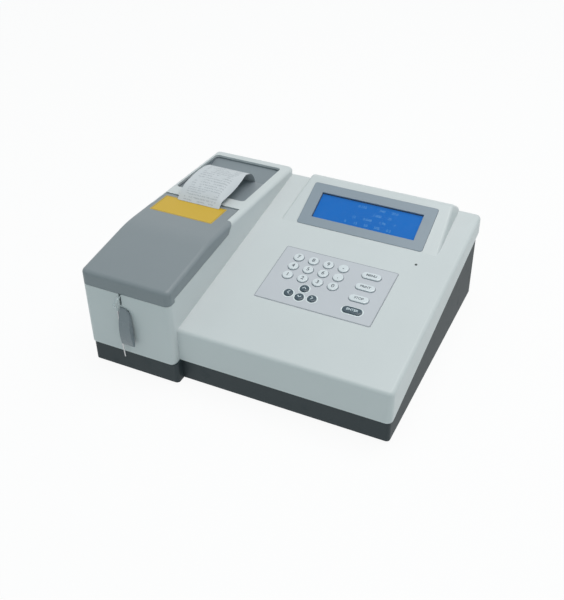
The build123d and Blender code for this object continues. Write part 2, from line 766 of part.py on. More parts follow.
def keypad_key(kind, plane):
    """A key cap with the flange that keeps it in the shell and the stem that works its switch."""
    cap = Pos(0, 0, KEY_FLANGE_BOTTOM) * extrude(
        key_outline(kind), PANEL_TOP + KEY_STANDS_PROUD - KEY_FLANGE_BOTTOM
    )
    cap = fillet(cap.faces().sort_by(Axis.Z)[-1].edges(), KEY_CAP_EDGE)
    flange = Pos(0, 0, KEY_FLANGE_BOTTOM) * extrude(
        key_outline(kind, KEY_FLANGE_LIP), KEY_FLANGE_THICKNESS
    )
    stem = Pos(0, 0, (KEY_FLANGE_BOTTOM + KEY_STEM_BOTTOM) / 2) * Cylinder(
        KEY_STEM_RADIUS, KEY_STEM_LENGTH
    )
    return plane * (cap + flange + stem)


def keypad_panel():
    """The grey inlay, with a hole for each key."""
    panel = slab(
        KEYPAD_PLANE,
        KEYPAD_WIDTH,
        KEYPAD_LENGTH,
        -KEYPAD_POCKET,
        PANEL_TOP,
        KEYPAD_CORNER_RADIUS,
    )
    for _, kind, plane in key_places():
        panel = panel - key_prism(kind, plane, KEY_SIDE_GAP, -SHELL_WALL, SHELL_WALL)
    return panel


def keypad_boss_places():
    """Where the keypad board is screwed up against the shell."""
    reach_x = KEYPAD_WIDTH / 2 - KEYPAD_BOARD_MARGIN - KEYPAD_BOSS_RADIUS
    reach_y = KEYPAD_LENGTH / 2 - KEYPAD_BOARD_MARGIN - KEYPAD_BOSS_RADIUS
    return [(x, y) for x in (-reach_x, reach_x) for y in (-reach_y, reach_y)]


def keypad_board():
    """The switch board under the keys: one dome under each stem."""
    board = slab(
        KEYPAD_PLANE,
        KEYPAD_WIDTH - 2 * KEYPAD_BOARD_MARGIN,
        KEYPAD_LENGTH - 2 * KEYPAD_BOARD_MARGIN,
        KEYPAD_BOARD_TOP - BOARD_THICKNESS,
        KEYPAD_BOARD_TOP,
    )
    domes = [
        disc(plane, DOME_RADIUS, KEYPAD_BOARD_TOP, DOME_TOP) for _, _, plane in key_places()
    ]
    return joined([board, *domes])


# Display

GLASS_TOP = BEZEL_STANDS_PROUD - BEZEL_THICKNESS
GLASS_BOTTOM = GLASS_TOP - GLASS_THICKNESS
MODULE_TOP = -SHELL_WALL
MODULE_BOTTOM = MODULE_TOP - MODULE_THICKNESS


def display_bezel():
    """The grey frame let into the hump."""
    frame = slab(
        DISPLAY_PLANE, BEZEL_WIDTH, BEZEL_HEIGHT, GLASS_TOP, BEZEL_STANDS_PROUD, BEZEL_CORNER_RADIUS
    )
    frame = frame - slab(DISPLAY_PLANE, VIEW_WIDTH, VIEW_HEIGHT, -BIG / 2, BIG / 2)
    front = frame.faces().sort_by(Axis(DISPLAY_PLANE.origin, DISPLAY_PLANE.z_dir))[-1]
    return chamfer(front.edges(), BEZEL_STANDS_PROUD / 2)


def lcd_glass():
    """The clear window behind the bezel."""
    return slab(
        DISPLAY_PLANE,
        VIEW_WIDTH + 2 * GLASS_MARGIN,
        VIEW_HEIGHT + 2 * GLASS_MARGIN,
        GLASS_BOTTOM,
        GLASS_TOP,
    )


def lcd_module():
    """The graphic display: a metal frame round the cell, on a circuit board."""
    width = VIEW_WIDTH + 2 * GLASS_MARGIN + 2 * MODULE_MARGIN
    height = VIEW_HEIGHT + 2 * GLASS_MARGIN + 2 * MODULE_MARGIN / 2
    board = slab(DISPLAY_PLANE, width, height, MODULE_BOTTOM, MODULE_BOTTOM + BOARD_THICKNESS)
    case = slab(
        DISPLAY_PLANE,
        width - MODULE_MARGIN,
        height - MODULE_MARGIN / 2,
        MODULE_BOTTOM + BOARD_THICKNESS,
        MODULE_TOP,
    )
    cell = slab(DISPLAY_PLANE, VIEW_WIDTH, VIEW_HEIGHT, MODULE_TOP, GLASS_BOTTOM)
    return board + case + cell


# Sample lid

def lid_zone(gap=0.0):
    """The part of the tower that the lid covers, over the tower's full width."""
    slant = LID_SLANT_TOP_Y - LID_SIDE_LIP_BACK_Y
    rise = tower_top(LID_SLANT_TOP_Y) - LID_SIDE_LIP_BACK_HEIGHT
    return side_prism(
        (
            (-BIG, LID_FRONT_LIP_HEIGHT - gap),
            (LID_STEP_Y + gap, LID_FRONT_LIP_HEIGHT - gap),
            (LID_STEP_Y + gap, LID_SIDE_LIP_FRONT_HEIGHT - gap),
            (LID_SIDE_LIP_BACK_Y + gap, LID_SIDE_LIP_BACK_HEIGHT - gap),
            (LID_SLANT_TOP_Y + gap, tower_top(LID_SLANT_TOP_Y)),
            (LID_SLANT_TOP_Y + gap + slant, tower_top(LID_SLANT_TOP_Y) + rise),
            (LID_SLANT_TOP_Y + gap + slant, BIG),
            (-BIG, BIG),
        ),
        -BIG,
        BIG,
    )


def lid_rear_zone(gap=0.0):
    """The narrower back part of the lid, between the tower's rails, as far as the hinge."""
    return block(
        LID_REAR_LEFT - gap,
        LID_REAR_RIGHT + gap,
        LID_SIDE_LIP_BACK_Y,
        HINGE_Y,
        LID_FRONT_LIP_HEIGHT,
        BIG,
    )


def hinge_barrel(gap=0.0):
    """The round back edge of the lid, which turns about the hinge pins."""
    return cylinder_x(
        HINGE_DEPTH + gap, LID_REAR_LEFT - gap, LID_REAR_RIGHT + gap, HINGE_Y, HINGE_HEIGHT
    )


def hinge_relief(gap):
    """The bevel behind the lid's back edge, which lets the lid's flat top swing over."""
    reach = HINGE_DEPTH + gap
    angle = math.radians(HINGE_RELIEF_ANGLE)
    return side_prism(
        (
            (HINGE_Y, HINGE_HEIGHT),
            (HINGE_Y + reach * math.sin(angle), HINGE_HEIGHT + reach * math.cos(angle)),
            (HINGE_Y + reach * math.tan(angle / 2), HINGE_HEIGHT + reach),
            (HINGE_Y, HINGE_HEIGHT + reach),
        ),
        LID_REAR_LEFT - gap,
        LID_REAR_RIGHT + gap,
    )


def hinge_places():
    """The middle of each hinge ear."""
    return (
        LID_REAR_LEFT + HINGE_EAR_INSET,
        LID_REAR_RIGHT - HINGE_EAR_INSET,
    )


def hinge_notch(x):
    """The room in the lid for one of the shell's ears."""
    half = HINGE_EAR_WIDTH / 2 + HINGE_EAR_GAP
    around = cylinder_x(HINGE_NOTCH_RADIUS, x - half, x + half, HINGE_Y, HINGE_HEIGHT)
    behind = block(
        x - half, x + half, HINGE_Y + HINGE_NOTCH_RADIUS / 2, HINGE_Y + BIG / 2, 0, BIG
    )
    below = block(
        x - half, x + half, HINGE_Y - HINGE_NOTCH_RADIUS, HINGE_Y + BIG / 2, 0, HINGE_HEIGHT
    )
    return around + behind + below


def sample_lid():
    """The hinged cover: a cap with lips at the front and sides, and a flat tail with the hinge."""
    form = tower_form()
    hollow = tower_form(LID_WALL)
    cap = (form & lid_zone()) - hollow
    tail = (form - hollow) & lid_rear_zone()
    lid = cap + tail + (hinge_barrel() & form)
    for x in hinge_places():
        lid = lid - hinge_notch(x)
        half = HINGE_PIN_LENGTH / 2 + HINGE_EAR_GAP
        lid = lid - cylinder_x(
            HINGE_PIN_RADIUS + HINGE_BORE_CLEARANCE, x - half, x + half, HINGE_Y, HINGE_HEIGHT
        )
    return lid


def hinge_ear(x):
    """One of the shell's ears: an eye for the pin on a swan-neck arm under the tower's top."""
    half = HINGE_EAR_WIDTH / 2
    floor = HINGE_HEIGHT - HINGE_ARM_DROP
    neck = HINGE_ARM_THICKNESS / 2
    eye = cylinder_x(HINGE_EAR_RADIUS, x - half, x + half, HINGE_Y, HINGE_HEIGHT)
    arm = block(x - half, x + half, HINGE_Y - neck, HINGE_Y + neck, floor, HINGE_HEIGHT)
    foot = block(
        x - half, x + half, HINGE_Y - neck, HINGE_ARM_BACK_Y, floor, floor + HINGE_ARM_THICKNESS
    )
    riser = block(
        x - half,
        x + half,
        HINGE_ARM_BACK_Y - HINGE_ARM_THICKNESS,
        HINGE_ARM_BACK_Y,
        floor,
        tower_top(HINGE_ARM_BACK_Y) - SHELL_WALL / 2,
    )
    ear = eye + arm + foot + riser
    return ear - cylinder_x(HINGE_PIN_RADIUS, x - half, x + half, HINGE_Y, HINGE_HEIGHT)


# Aspirate key on the tower's front

def key_back_y(z):
    """How far the key's back face stands in front of the shell at height z."""
    share = (KEY_TOP - z) / (KEY_TOP - KEY_BOTTOM)
    return -(KEY_BACK_TOP_GAP + share * (KEY_BACK_BOTTOM_GAP - KEY_BACK_TOP_GAP))


def aspirate_key():
    """The curved paddle, with the web that carries its pivot and presses the switch."""
    face = make_face(
        Polyline(
            (KEY_LEFT, KEY_BOTTOM),
            (KEY_LEFT, KEY_TOP),
            (KEY_TOP_RIGHT, KEY_TOP),
            (KEY_BOTTOM_RIGHT, KEY_BOTTOM),
            close=True,
        )
    )
    corner = face.vertices().sort_by_distance((KEY_TOP_RIGHT, KEY_TOP, 0))[0]
    face = fillet(corner, KEY_ROUND_RADIUS)
    front = ThreePointArc(
        (key_back_y(KEY_TOP) - 1.0, KEY_TOP),
        (-KEY_BULGE, KEY_BULGE_HEIGHT),
        (-KEY_FRONT_BOTTOM, KEY_BOTTOM),
    )
    rest = Polyline(
        (-KEY_FRONT_BOTTOM, KEY_BOTTOM),
        (key_back_y(KEY_BOTTOM), KEY_BOTTOM),
        (key_back_y(KEY_TOP), KEY_TOP),
        (key_back_y(KEY_TOP) - 1.0, KEY_TOP),
    )
    side = make_face([front, rest])
    paddle = extrude(FRONT_PLANE * face, HOUSING_DEPTH, both=True) & extrude(
        SIDE_PLANE * side, HOUSING_WIDTH
    )
    web_half = WEB_WIDTH / 2
    web = side_prism(
        (
            (key_back_y(WEB_TOP) - 0.2, WEB_TOP),
            (WEB_DEPTH, WEB_TOP),
            (WEB_DEPTH, WEB_BOTTOM),
            (key_back_y(WEB_BOTTOM) - 0.2, WEB_BOTTOM),
        ),
        WEB_X - web_half,
        WEB_X + web_half,
    )
    bore = cylinder_x(
        PIVOT_RADIUS + PIVOT_FIT, WEB_X - web_half, WEB_X + web_half, PIVOT_Y, PIVOT_HEIGHT
    )
    return paddle + web - bore


def pivot_ears():
    """The two ears inside the tower's front wall that hold the key's pivot pin."""
    ears = []
    for side in (-1, 1):
        near = WEB_X + side * (WEB_WIDTH / 2 + WEB_GAP)
        far = near + side * PIVOT_EAR_WIDTH
        x0, x1 = min(near, far), max(near, far)
        eye = cylinder_x(PIVOT_EAR_RADIUS, x0, x1, PIVOT_Y, PIVOT_HEIGHT)
        arm = block(
            x0,
            x1,
            SHELL_WALL / 2,
            PIVOT_Y,
            PIVOT_HEIGHT - PIVOT_EAR_RADIUS,
            PIVOT_HEIGHT + PIVOT_EAR_RADIUS,
        )
        ears.append(eye + arm - cylinder_x(PIVOT_RADIUS, x0, x1, PIVOT_Y, PIVOT_HEIGHT))
    return ears


def hinge_pins():
    """The steel pins in the shell's ears: two for the lid and one for the aspirate key."""
    half = HINGE_PIN_LENGTH / 2
    pins = [
        cylinder_x(HINGE_PIN_RADIUS, x - half, x + half, HINGE_Y, HINGE_HEIGHT)
        for x in hinge_places()
    ]
    half = WEB_WIDTH / 2 + WEB_GAP + PIVOT_EAR_WIDTH
    pins.append(cylinder_x(PIVOT_RADIUS, WEB_X - half, WEB_X + half, PIVOT_Y, PIVOT_HEIGHT))
    return Compound(children=pins)


WEB_SWING = (PIVOT_HEIGHT - SWITCH_CENTRE_HEIGHT + SWITCH_PLUNGER_RADIUS) * math.tan(
    math.radians(KEY_ANGLE)
)
PLUNGER_Y = WEB_DEPTH + WEB_SWING + 0.4
SWITCH_Y = PLUNGER_Y + SWITCH_PLUNGER_LENGTH


def aspirate_switch():
    """The small switch that the key's web presses."""
    bottom = SWITCH_CENTRE_HEIGHT - SWITCH_HEIGHT / 2
    body = block(
        WEB_X - SWITCH_WIDTH / 2,
        WEB_X + SWITCH_WIDTH / 2,
        SWITCH_Y,
        SWITCH_Y + SWITCH_DEPTH,
        bottom,
        bottom + SWITCH_HEIGHT,
    )
    plunger = cylinder_y(
        SWITCH_PLUNGER_RADIUS, PLUNGER_Y, SWITCH_Y, WEB_X, SWITCH_CENTRE_HEIGHT
    )
    return body + plunger


def switch_shelf():
    """The shell's shelf under the switch, tied to the front wall below the key's slot."""
    top = SWITCH_CENTRE_HEIGHT - SWITCH_HEIGHT / 2
    cheek = WEB_WIDTH / 2 + WEB_GAP
    shelf = block(
        WEB_X - SWITCH_WIDTH / 2,
        WEB_X + SWITCH_WIDTH / 2,
        SWITCH_Y,
        SWITCH_Y + SWITCH_DEPTH,
        top - SWITCH_SHELF_THICKNESS,
        top,
    )
    arms = [
        block(
            WEB_X + min(side * cheek, side * (cheek + SWITCH_SHELF_THICKNESS)),
            WEB_X + max(side * cheek, side * (cheek + SWITCH_SHELF_THICKNESS)),
            SHELL_WALL / 2,
            SWITCH_Y + SWITCH_DEPTH,
            top - SWITCH_SHELF_THICKNESS - 4.0,
            top - SWITCH_SHELF_THICKNESS,
        )
        for side in (-1, 1)
    ]
    return [shelf, *arms]


def round_path(points, radii):
    """Straight runs joined by tangent arcs."""
    return FilletPolyline(*points, radius=radii)


def tube_along(path, radius):
    """A round tube's outer shape along a path."""
    start = Plane(origin=path @ 0, z_dir=path % 0)
    return sweep(start * Circle(radius), path)


PROBE_TOP_POINT = (PROBE_X, PROBE_Y, PROBE_TOP)


def sample_probe():
    """The steel aspirating tube that runs down beside the key, its tip bent forward."""
    path = round_path(
        [
            PROBE_TOP_POINT,
            (PROBE_X, PROBE_Y, PROBE_BEND_HEIGHT),
            (PROBE_TIP_X, PROBE_TIP_Y, PROBE_TIP_HEIGHT),
        ],
        PROBE_BEND_RADIUS,
    )
    return tube_along(path, PROBE_RADIUS)


# Openings and bosses of the shell

def screw_places():
    """The four housing screws and which way each one's side wall lies."""
    right = HOUSING_WIDTH - SCREW_INSET_X
    return [
        (x, y, side)
        for x, side in ((SCREW_INSET_X, -1), (right, 1))
        for y in (SCREW_FRONT_Y, SCREW_BACK_Y)
    ]


def boss_top(y):
    """Height where a base boss meets its post in the shell."""
    return parting_height(y - BOSS_RADIUS) - 1.0


def shell_post(x, y, side):
    """A screw post with a rib to the side wall."""
    low = boss_top(y)
    high = low + POST_LENGTH
    wall_x = HOUSING_WIDTH - SHELL_WALL / 2 if side > 0 else SHELL_WALL / 2
    rib = block(
        min(x, wall_x), max(x, wall_x), y - POST_RIB / 2, y + POST_RIB / 2,
        low + POST_RIB_RISE, high,
    )
    post = cylinder_z(POST_RADIUS, low, high, x, y) + rib
    pilot = SCREW_LENGTH - SCREW_SEAT + 1.0
    return post - cylinder_z(SCREW_RADIUS + PILOT_CLEARANCE, low - 1.0, low + pilot, x, y)


def deck_ledges():
    """The ledges inside the tower that the sample deck rests on."""
    low = DECK_HEIGHT - DECK_LEDGE_THICKNESS
    right = TOWER_WIDTH - SHELL_WALL
    return [
        block(
            SHELL_WALL / 2,
            SHELL_WALL + DECK_LEDGE_WIDTH,
            DECK_LEDGE_FRONT_Y,
            DECK_LEDGE_LEFT_BACK_Y,
            low,
            DECK_HEIGHT,
        ),
        block(
            right - DECK_LEDGE_WIDTH,
            right + SHELL_WALL / 2,
            DECK_LEDGE_FRONT_Y,
            DECK_LEDGE_RIGHT_BACK_Y,
            low,
            DECK_HEIGHT,
        ),
    ]


def recess_zone(margin=0.0, floor=0.0):
    """The printer opening's upright prism, grown by margin."""
    face = Rectangle(RECESS_RIGHT - RECESS_LEFT + 2 * margin, RECESS_BACK_Y - RECESS_FRONT_Y + 2 * margin)
    face = fillet(face.vertices(), RECESS_CORNER_RADIUS + margin)
    place = Pos((RECESS_LEFT + RECESS_RIGHT) / 2, (RECESS_FRONT_Y + RECESS_BACK_Y) / 2, floor)
    return place * extrude(face, BIG)


def rear_rim():
    """The strip inside the shell's back wall that closes the gap over the base's back wall."""
    return block(
        CORNER_RADIUS,
        HOUSING_WIDTH - CORNER_RADIUS,
        BASE_REAR_Y - BASE_REAR_WALL,
        HOUSING_DEPTH - SHELL_WALL / 2,
        parting_height(BASE_REAR_Y) - REAR_LIP_HEIGHT,
        parting_height(HOUSING_DEPTH) + REAR_LIP_HEIGHT,
    )


def rear_lip_chamfer():
    """What is cut off the shell's bottom edge at the back, so that it meets the base."""
    return side_prism(
        (
            (BASE_REAR_Y, parting_height(BASE_REAR_Y)),
            (HOUSING_DEPTH, parting_height(HOUSING_DEPTH) + REAR_LIP_HEIGHT),
            (HOUSING_DEPTH + CORNER_RADIUS, parting_height(HOUSING_DEPTH) + REAR_LIP_HEIGHT),
            (HOUSING_DEPTH + CORNER_RADIUS, 0),
            (BASE_REAR_Y, 0),
        ),
        -BIG,
        BIG,
    )


def upper_shell():
    """The off-white moulding: tower, desk and display hump in one thin-walled piece."""
    outer = tower_form() + desk_form() + hump_form()
    hollow = tower_form(SHELL_WALL) + desk_form(SHELL_WALL) + hump_form(SHELL_WALL)
    shell = outer - hollow + rear_rim()
    shell = shell - below_parting() - rear_lip_chamfer()
    shell = shell - lid_zone(LID_GAP) - lid_rear_zone(LID_GAP) - hinge_barrel(LID_GAP)
    shell = shell - hinge_relief(LID_GAP)
    shell = joined([shell, *pivot_ears(), *switch_shelf(), *deck_ledges()])
    shell = joined([shell, *(hinge_ear(x) for x in hinge_places())])
    shell = joined([shell, *(shell_post(*place) for place in screw_places())])
    for x, y in keypad_boss_places():
        boss = KEYPAD_PLANE * Pos(x, y, (KEYPAD_BOARD_TOP - SHELL_WALL / 2) / 2) * Cylinder(
            KEYPAD_BOSS_RADIUS, -KEYPAD_BOARD_TOP - SHELL_WALL / 2
        )
        shell = shell + boss
    shell = shell - recess_zone(0.0, tower_top(HOUSING_DEPTH) - 2 * SHELL_WALL)
    shell = shell - slab(
        KEYPAD_PLANE,
        KEYPAD_WIDTH + 2 * KEYPAD_FIT,
        KEYPAD_LENGTH + 2 * KEYPAD_FIT,
        -KEYPAD_POCKET,
        SHELL_WALL,
        KEYPAD_CORNER_RADIUS + KEYPAD_FIT,
    )
    for _, kind, plane in key_places():
        shell = shell - key_prism(kind, plane, KEY_SIDE_GAP, -2 * SHELL_WALL, SHELL_WALL)
    shell = shell - slab(
        DISPLAY_PLANE,
        BEZEL_WIDTH + 2 * DISPLAY_FIT,
        BEZEL_HEIGHT + 2 * DISPLAY_FIT,
        GLASS_TOP,
        BEZEL_HEIGHT,
        BEZEL_CORNER_RADIUS + DISPLAY_FIT,
    )
    shell = shell - slab(
        DISPLAY_PLANE,
        VIEW_WIDTH + 2 * GLASS_MARGIN + 2 * DISPLAY_FIT,
        VIEW_HEIGHT + 2 * GLASS_MARGIN + 2 * DISPLAY_FIT,
        -2 * SHELL_WALL,
        0.0,
    )
    shell = shell - disc(
        desk_plane(LAMP_X, LAMP_Y), LAMP_RADIUS + LAMP_FIT, -2 * SHELL_WALL, SHELL_WALL
    )
    shell = shell - block(
        SLIT_X - SLIT_WIDTH / 2,
        SLIT_X + SLIT_WIDTH / 2,
        -SHELL_WALL,
        2 * SHELL_WALL,
        SLIT_FOOT_HEIGHT,
        LID_FRONT_LIP_HEIGHT,
    )
    slot_half = WEB_WIDTH / 2 + WEB_GAP
    shell = shell - block(
        WEB_X - slot_half,
        WEB_X + slot_half,
        -SHELL_WALL,
        SHELL_WALL + 1.0,
        WEB_BOTTOM - 2 * WEB_GAP,
        WEB_TOP + 2 * WEB_GAP,
    )
    return shell


# Base pan, feet and housing screws

def base_pan():
    """The dark wedge-shaped tray that carries everything."""
    outer_insets = (
        BASE_LEFT_INSET, BASE_TOWER_INSET, BASE_FRONT_INSET, BASE_RIGHT_INSET, REAR_LIP_OVERHANG,
    )
    cavity_insets = (
        BASE_CAVITY_INSET,
        BASE_CAVITY_INSET,
        BASE_CAVITY_INSET,
        BASE_CAVITY_INSET,
        REAR_LIP_OVERHANG + BASE_REAR_WALL,
    )
    lip_out = SHELL_WALL + LIP_CLEARANCE
    lip_in = lip_out + LIP_THICKNESS
    top = below_parting()
    footprint = outline(outer_insets, BASE_STEP_SHIFT, CORNER_RADIUS - BASE_FRONT_INSET)
    tray = extrude(footprint, HOUSING_DEPTH) & top
    floor_outline = outline(
        cavity_insets, -BASE_CAVITY_INSET, max(CORNER_RADIUS - BASE_CAVITY_INSET, 1.5)
    )
    tray = tray - Pos(0, 0, BASE_FLOOR) * extrude(floor_outline, HOUSING_DEPTH)
    lip_outer = outline((lip_out,) * 5, -lip_out, CORNER_RADIUS - lip_out)
    lip_inner = outline((lip_in,) * 5, -lip_in, CORNER_RADIUS - lip_in)
    lip = extrude(lip_outer, HOUSING_DEPTH) - extrude(lip_inner, HOUSING_DEPTH)
    lip = (lip & below_parting(LIP_HEIGHT)) - below_parting(-1.0)
    lip = lip - block(-BIG, BIG, BASE_REAR_Y - 2 * BASE_REAR_WALL, BIG, -BIG, BIG)
    tray = tray + lip
    for x, y, _ in screw_places():
        tray = tray + cylinder_z(BOSS_RADIUS, BASE_FLOOR / 2, boss_top(y), x, y)
        tray = tray - cylinder_z(
            COUNTERBORE_RADIUS, -1.0, boss_top(y) - SCREW_SEAT, x, y
        )
        tray = tray - cylinder_z(SCREW_RADIUS + SCREW_CLEARANCE, 0, BIG, x, y)
    for x, y in foot_places():
        tray = tray - cylinder_z(FOOT_RADIUS + LIP_CLEARANCE, -1.0, FOOT_SEAT_DEPTH, x, y)
    for x, y in board_standoffs():
        tray = tray + cylinder_z(
            STANDOFF_RADIUS, BASE_FLOOR / 2, BASE_FLOOR + STANDOFF_HEIGHT, x, y
        )
    for x, y in printer_stands():
        tray = tray + cylinder_z(
            STANDOFF_RADIUS, BASE_FLOOR / 2, PRINTER_FOOT_HEIGHT, x, y
        )
    for cut in rear_panel_cuts():
        tray = tray - cut
    return tray


def foot_places():
    """The middles of the four rubber feet."""
    return [
        (x, y)
        for x in (FOOT_INSET_X, HOUSING_WIDTH - FOOT_INSET_X)
        for y in (FOOT_INSET_Y, HOUSING_DEPTH - FOOT_INSET_Y)
    ]


def rubber_feet():
    """Four round feet let into the base's underside."""
    feet = []
    for x, y in foot_places():
        foot = cylinder_z(FOOT_RADIUS, -FOOT_HEIGHT, FOOT_SEAT_DEPTH, x, y)
        foot = chamfer(foot.faces().sort_by(Axis.Z)[0].edges(), 0.8)
        feet.append(foot)
    return Compound(children=feet)


def housing_screws():
    """The screws that hold the shell down on the base."""
    screws = []
    for x, y, _ in screw_places():
        seat = boss_top(y) - SCREW_SEAT
        head = cylinder_z(SCREW_HEAD_RADIUS, seat - SCREW_HEAD_HEIGHT, seat, x, y)
        head = chamfer(head.faces().sort_by(Axis.Z)[0].edges(), 0.6)
        shank = cylinder_z(SCREW_RADIUS, seat - 0.5, seat + SCREW_LENGTH, x, y)
        screws.append(head + shank)
    return Compound(children=screws)


# Sample deck and what stands on it

PUMP_FLOOR_TOP = DECK_TOP + PUMP_FLOOR
CELL_X = OPTICS_LEFT + OPTICS_LENGTH / 2


def sample_deck():
    """The tray under the lid, with holes for the flow cell and the pump's shaft."""
    inset = SHELL_WALL + DECK_FIT
    deck = block(
        inset, TOWER_WIDTH - inset, inset, DECK_BACK_Y, DECK_HEIGHT, DECK_TOP
    )
    upright = deck.edges().filter_by(Axis.Z)
    deck = fillet(upright, CORNER_RADIUS - SHELL_WALL)
    deck = deck + block(
        inset + CORNER_RADIUS,
        TOWER_WIDTH - inset - CORNER_RADIUS,
        DECK_BACK_Y - DECK_THICKNESS,
        DECK_BACK_Y,
        DECK_HEIGHT,
        DECK_TOP + DECK_UPSTAND_HEIGHT,
    )
    cell_hole = CELL_SIZE + 2 * CELL_FIT
    deck = deck - block(
        CELL_X - cell_hole / 2,
        CELL_X + cell_hole / 2,
        OPTICAL_AXIS_Y - cell_hole / 2,
        OPTICAL_AXIS_Y + cell_hole / 2,
        0,
        BIG,
    )
    deck = deck - cylinder_z(DECK_SHAFT_HOLE_RADIUS, 0, BIG, PUMP_X, PUMP_Y)
    tube_x = PUMP_X - PUMP_TRACK_RADIUS + PUMP_TUBE_RADIUS + PUMP_TUBE_FIT
    tube_y = PUMP_Y - PUMP_HOUSING_RADIUS - 9.0
    return deck - cylinder_z(DECK_TUBE_HOLE_RADIUS, 0, BIG, tube_x, tube_y)


def optics_block():
    """The metal block under the deck, bored for the light and open above for the flow cell."""
    body = block(
        OPTICS_LEFT,
        OPTICS_LEFT + OPTICS_LENGTH,
        OPTICAL_AXIS_Y - OPTICS_WIDTH / 2,
        OPTICAL_AXIS_Y + OPTICS_WIDTH / 2,
        DECK_HEIGHT - OPTICS_HEIGHT,
        DECK_HEIGHT,
    )
    body = chamfer(body.edges().filter_by(Axis.Z), 2.0)
    well = CELL_SIZE + 2 * CELL_FIT
    body = body - block(
        CELL_X - well / 2,
        CELL_X + well / 2,
        OPTICAL_AXIS_Y - well / 2,
        OPTICAL_AXIS_Y + well / 2,
        DECK_TOP - CELL_DEPTH - CELL_FIT,
        BIG,
    )
    return body - cylinder_x(LIGHT_BORE_RADIUS, 0, BIG, OPTICAL_AXIS_Y, OPTICAL_AXIS_HEIGHT)


def flow_cell():
    """The flow cell: a windowed stem in the optics block under a head with two tube ports."""
    stem = block(
        CELL_X - CELL_SIZE / 2,
        CELL_X + CELL_SIZE / 2,
        OPTICAL_AXIS_Y - CELL_SIZE / 2,
        OPTICAL_AXIS_Y + CELL_SIZE / 2,
        DECK_TOP - CELL_DEPTH,
        DECK_TOP,
    )
    reach = CELL_SIZE / 2 + CELL_HEAD_MARGIN
    head = block(
        CELL_X - reach,
        CELL_X + reach,
        OPTICAL_AXIS_Y - reach,
        OPTICAL_AXIS_Y + reach,
        DECK_TOP,
        DECK_TOP + CELL_HEAD_HEIGHT,
    )
    head = fillet(head.edges().filter_by(Axis.Z), 3.0)
    head = chamfer(head.faces().sort_by(Axis.Z)[-1].edges(), 0.8)
    cell = stem + head
    cell = cell - cylinder_x(CELL_WINDOW_RADIUS, 0, BIG, OPTICAL_AXIS_Y, OPTICAL_AXIS_HEIGHT)
    for shift in (-reach / 2, reach / 2):
        cell = cell + cylinder_z(
            CELL_PORT_RADIUS,
            DECK_TOP + CELL_HEAD_HEIGHT - 0.5,
            DECK_TOP + CELL_HEAD_HEIGHT + CELL_PORT_HEIGHT,
            CELL_X + shift,
            OPTICAL_AXIS_Y,
        )
    return cell


CELL_PORT_TOP = DECK_TOP + CELL_HEAD_HEIGHT + CELL_PORT_HEIGHT
CELL_PORT_REACH = (CELL_SIZE / 2 + CELL_HEAD_MARGIN) / 2


def sample_tube():
    """The clear tube from the flow cell out through the slit and down to the probe."""
    height = CELL_PORT_TOP + 6.0
    lowest = min(height, LID_FRONT_LIP_HEIGHT - 4.0)
    path = round_path(
        [
            (CELL_X - CELL_PORT_REACH, OPTICAL_AXIS_Y, CELL_PORT_TOP),
            (CELL_X - CELL_PORT_REACH, OPTICAL_AXIS_Y, height + 4.0),
            (SLIT_X + 6.0, OPTICAL_AXIS_Y / 2, height + 1.0),
            (SLIT_X, 10.0, lowest),
            (SLIT_X, -5.0, lowest),
            (SLIT_X - 5.0, -7.0, PROBE_TOP + 9.0),
            (PROBE_X, PROBE_Y, PROBE_TOP + 3.5),
            PROBE_TOP_POINT,
        ],
        [4.0, 7.0, 7.0, 3.5, 3.5, 1.6],
    )
    return tube_along(path, TUBE_RADIUS)


def pump_housing():
    """The pump's horseshoe body, with the track that the tube is squeezed against."""
    top = DECK_TOP + PUMP_HOUSING_HEIGHT
    body = cylinder_z(PUMP_HOUSING_RADIUS, DECK_TOP, top, PUMP_X, PUMP_Y)
    body = chamfer(body.faces().sort_by(Axis.Z)[-1].edges(), 1.0)
    track = cylinder_z(PUMP_TRACK_RADIUS, PUMP_FLOOR_TOP, BIG, PUMP_X, PUMP_Y)
    mouth = block(
        PUMP_X - PUMP_TRACK_RADIUS,
        PUMP_X + PUMP_TRACK_RADIUS,
        PUMP_Y - PUMP_HOUSING_RADIUS - 1.0,
        PUMP_Y,
        PUMP_FLOOR_TOP,
        BIG,
    )
    shaft = cylinder_z(PUMP_SHAFT_RADIUS + SHAFT_FIT * 6, 0, BIG, PUMP_X, PUMP_Y)
    return body - track - mouth - shaft


def pump_rotor():
    """The rotor on its shaft: two plates with the rollers between them."""
    bottom = PUMP_FLOOR_TOP + PUMP_ROTOR_FLOOR_GAP
    top = DECK_TOP + PUMP_ROTOR_TOP
    lower = cylinder_z(PUMP_ROTOR_RADIUS, bottom, bottom + PUMP_ROTOR_PLATE, PUMP_X, PUMP_Y)
    upper = cylinder_z(PUMP_ROTOR_RADIUS, top - PUMP_ROTOR_PLATE, top, PUMP_X, PUMP_Y)
    shaft = cylinder_z(PUMP_SHAFT_RADIUS, DECK_HEIGHT - 6.0, top + 1.5, PUMP_X, PUMP_Y)
    rotor = lower + upper + shaft
    for index in range(PUMP_ROLLER_COUNT):
        angle = 2 * math.pi * index / PUMP_ROLLER_COUNT + math.pi / 2
        rotor = rotor + cylinder_z(
            PUMP_ROLLER_RADIUS,
            bottom,
            top,
            PUMP_X + PUMP_ROLLER_RING * math.cos(angle),
            PUMP_Y + PUMP_ROLLER_RING * math.sin(angle),
        )
    return rotor


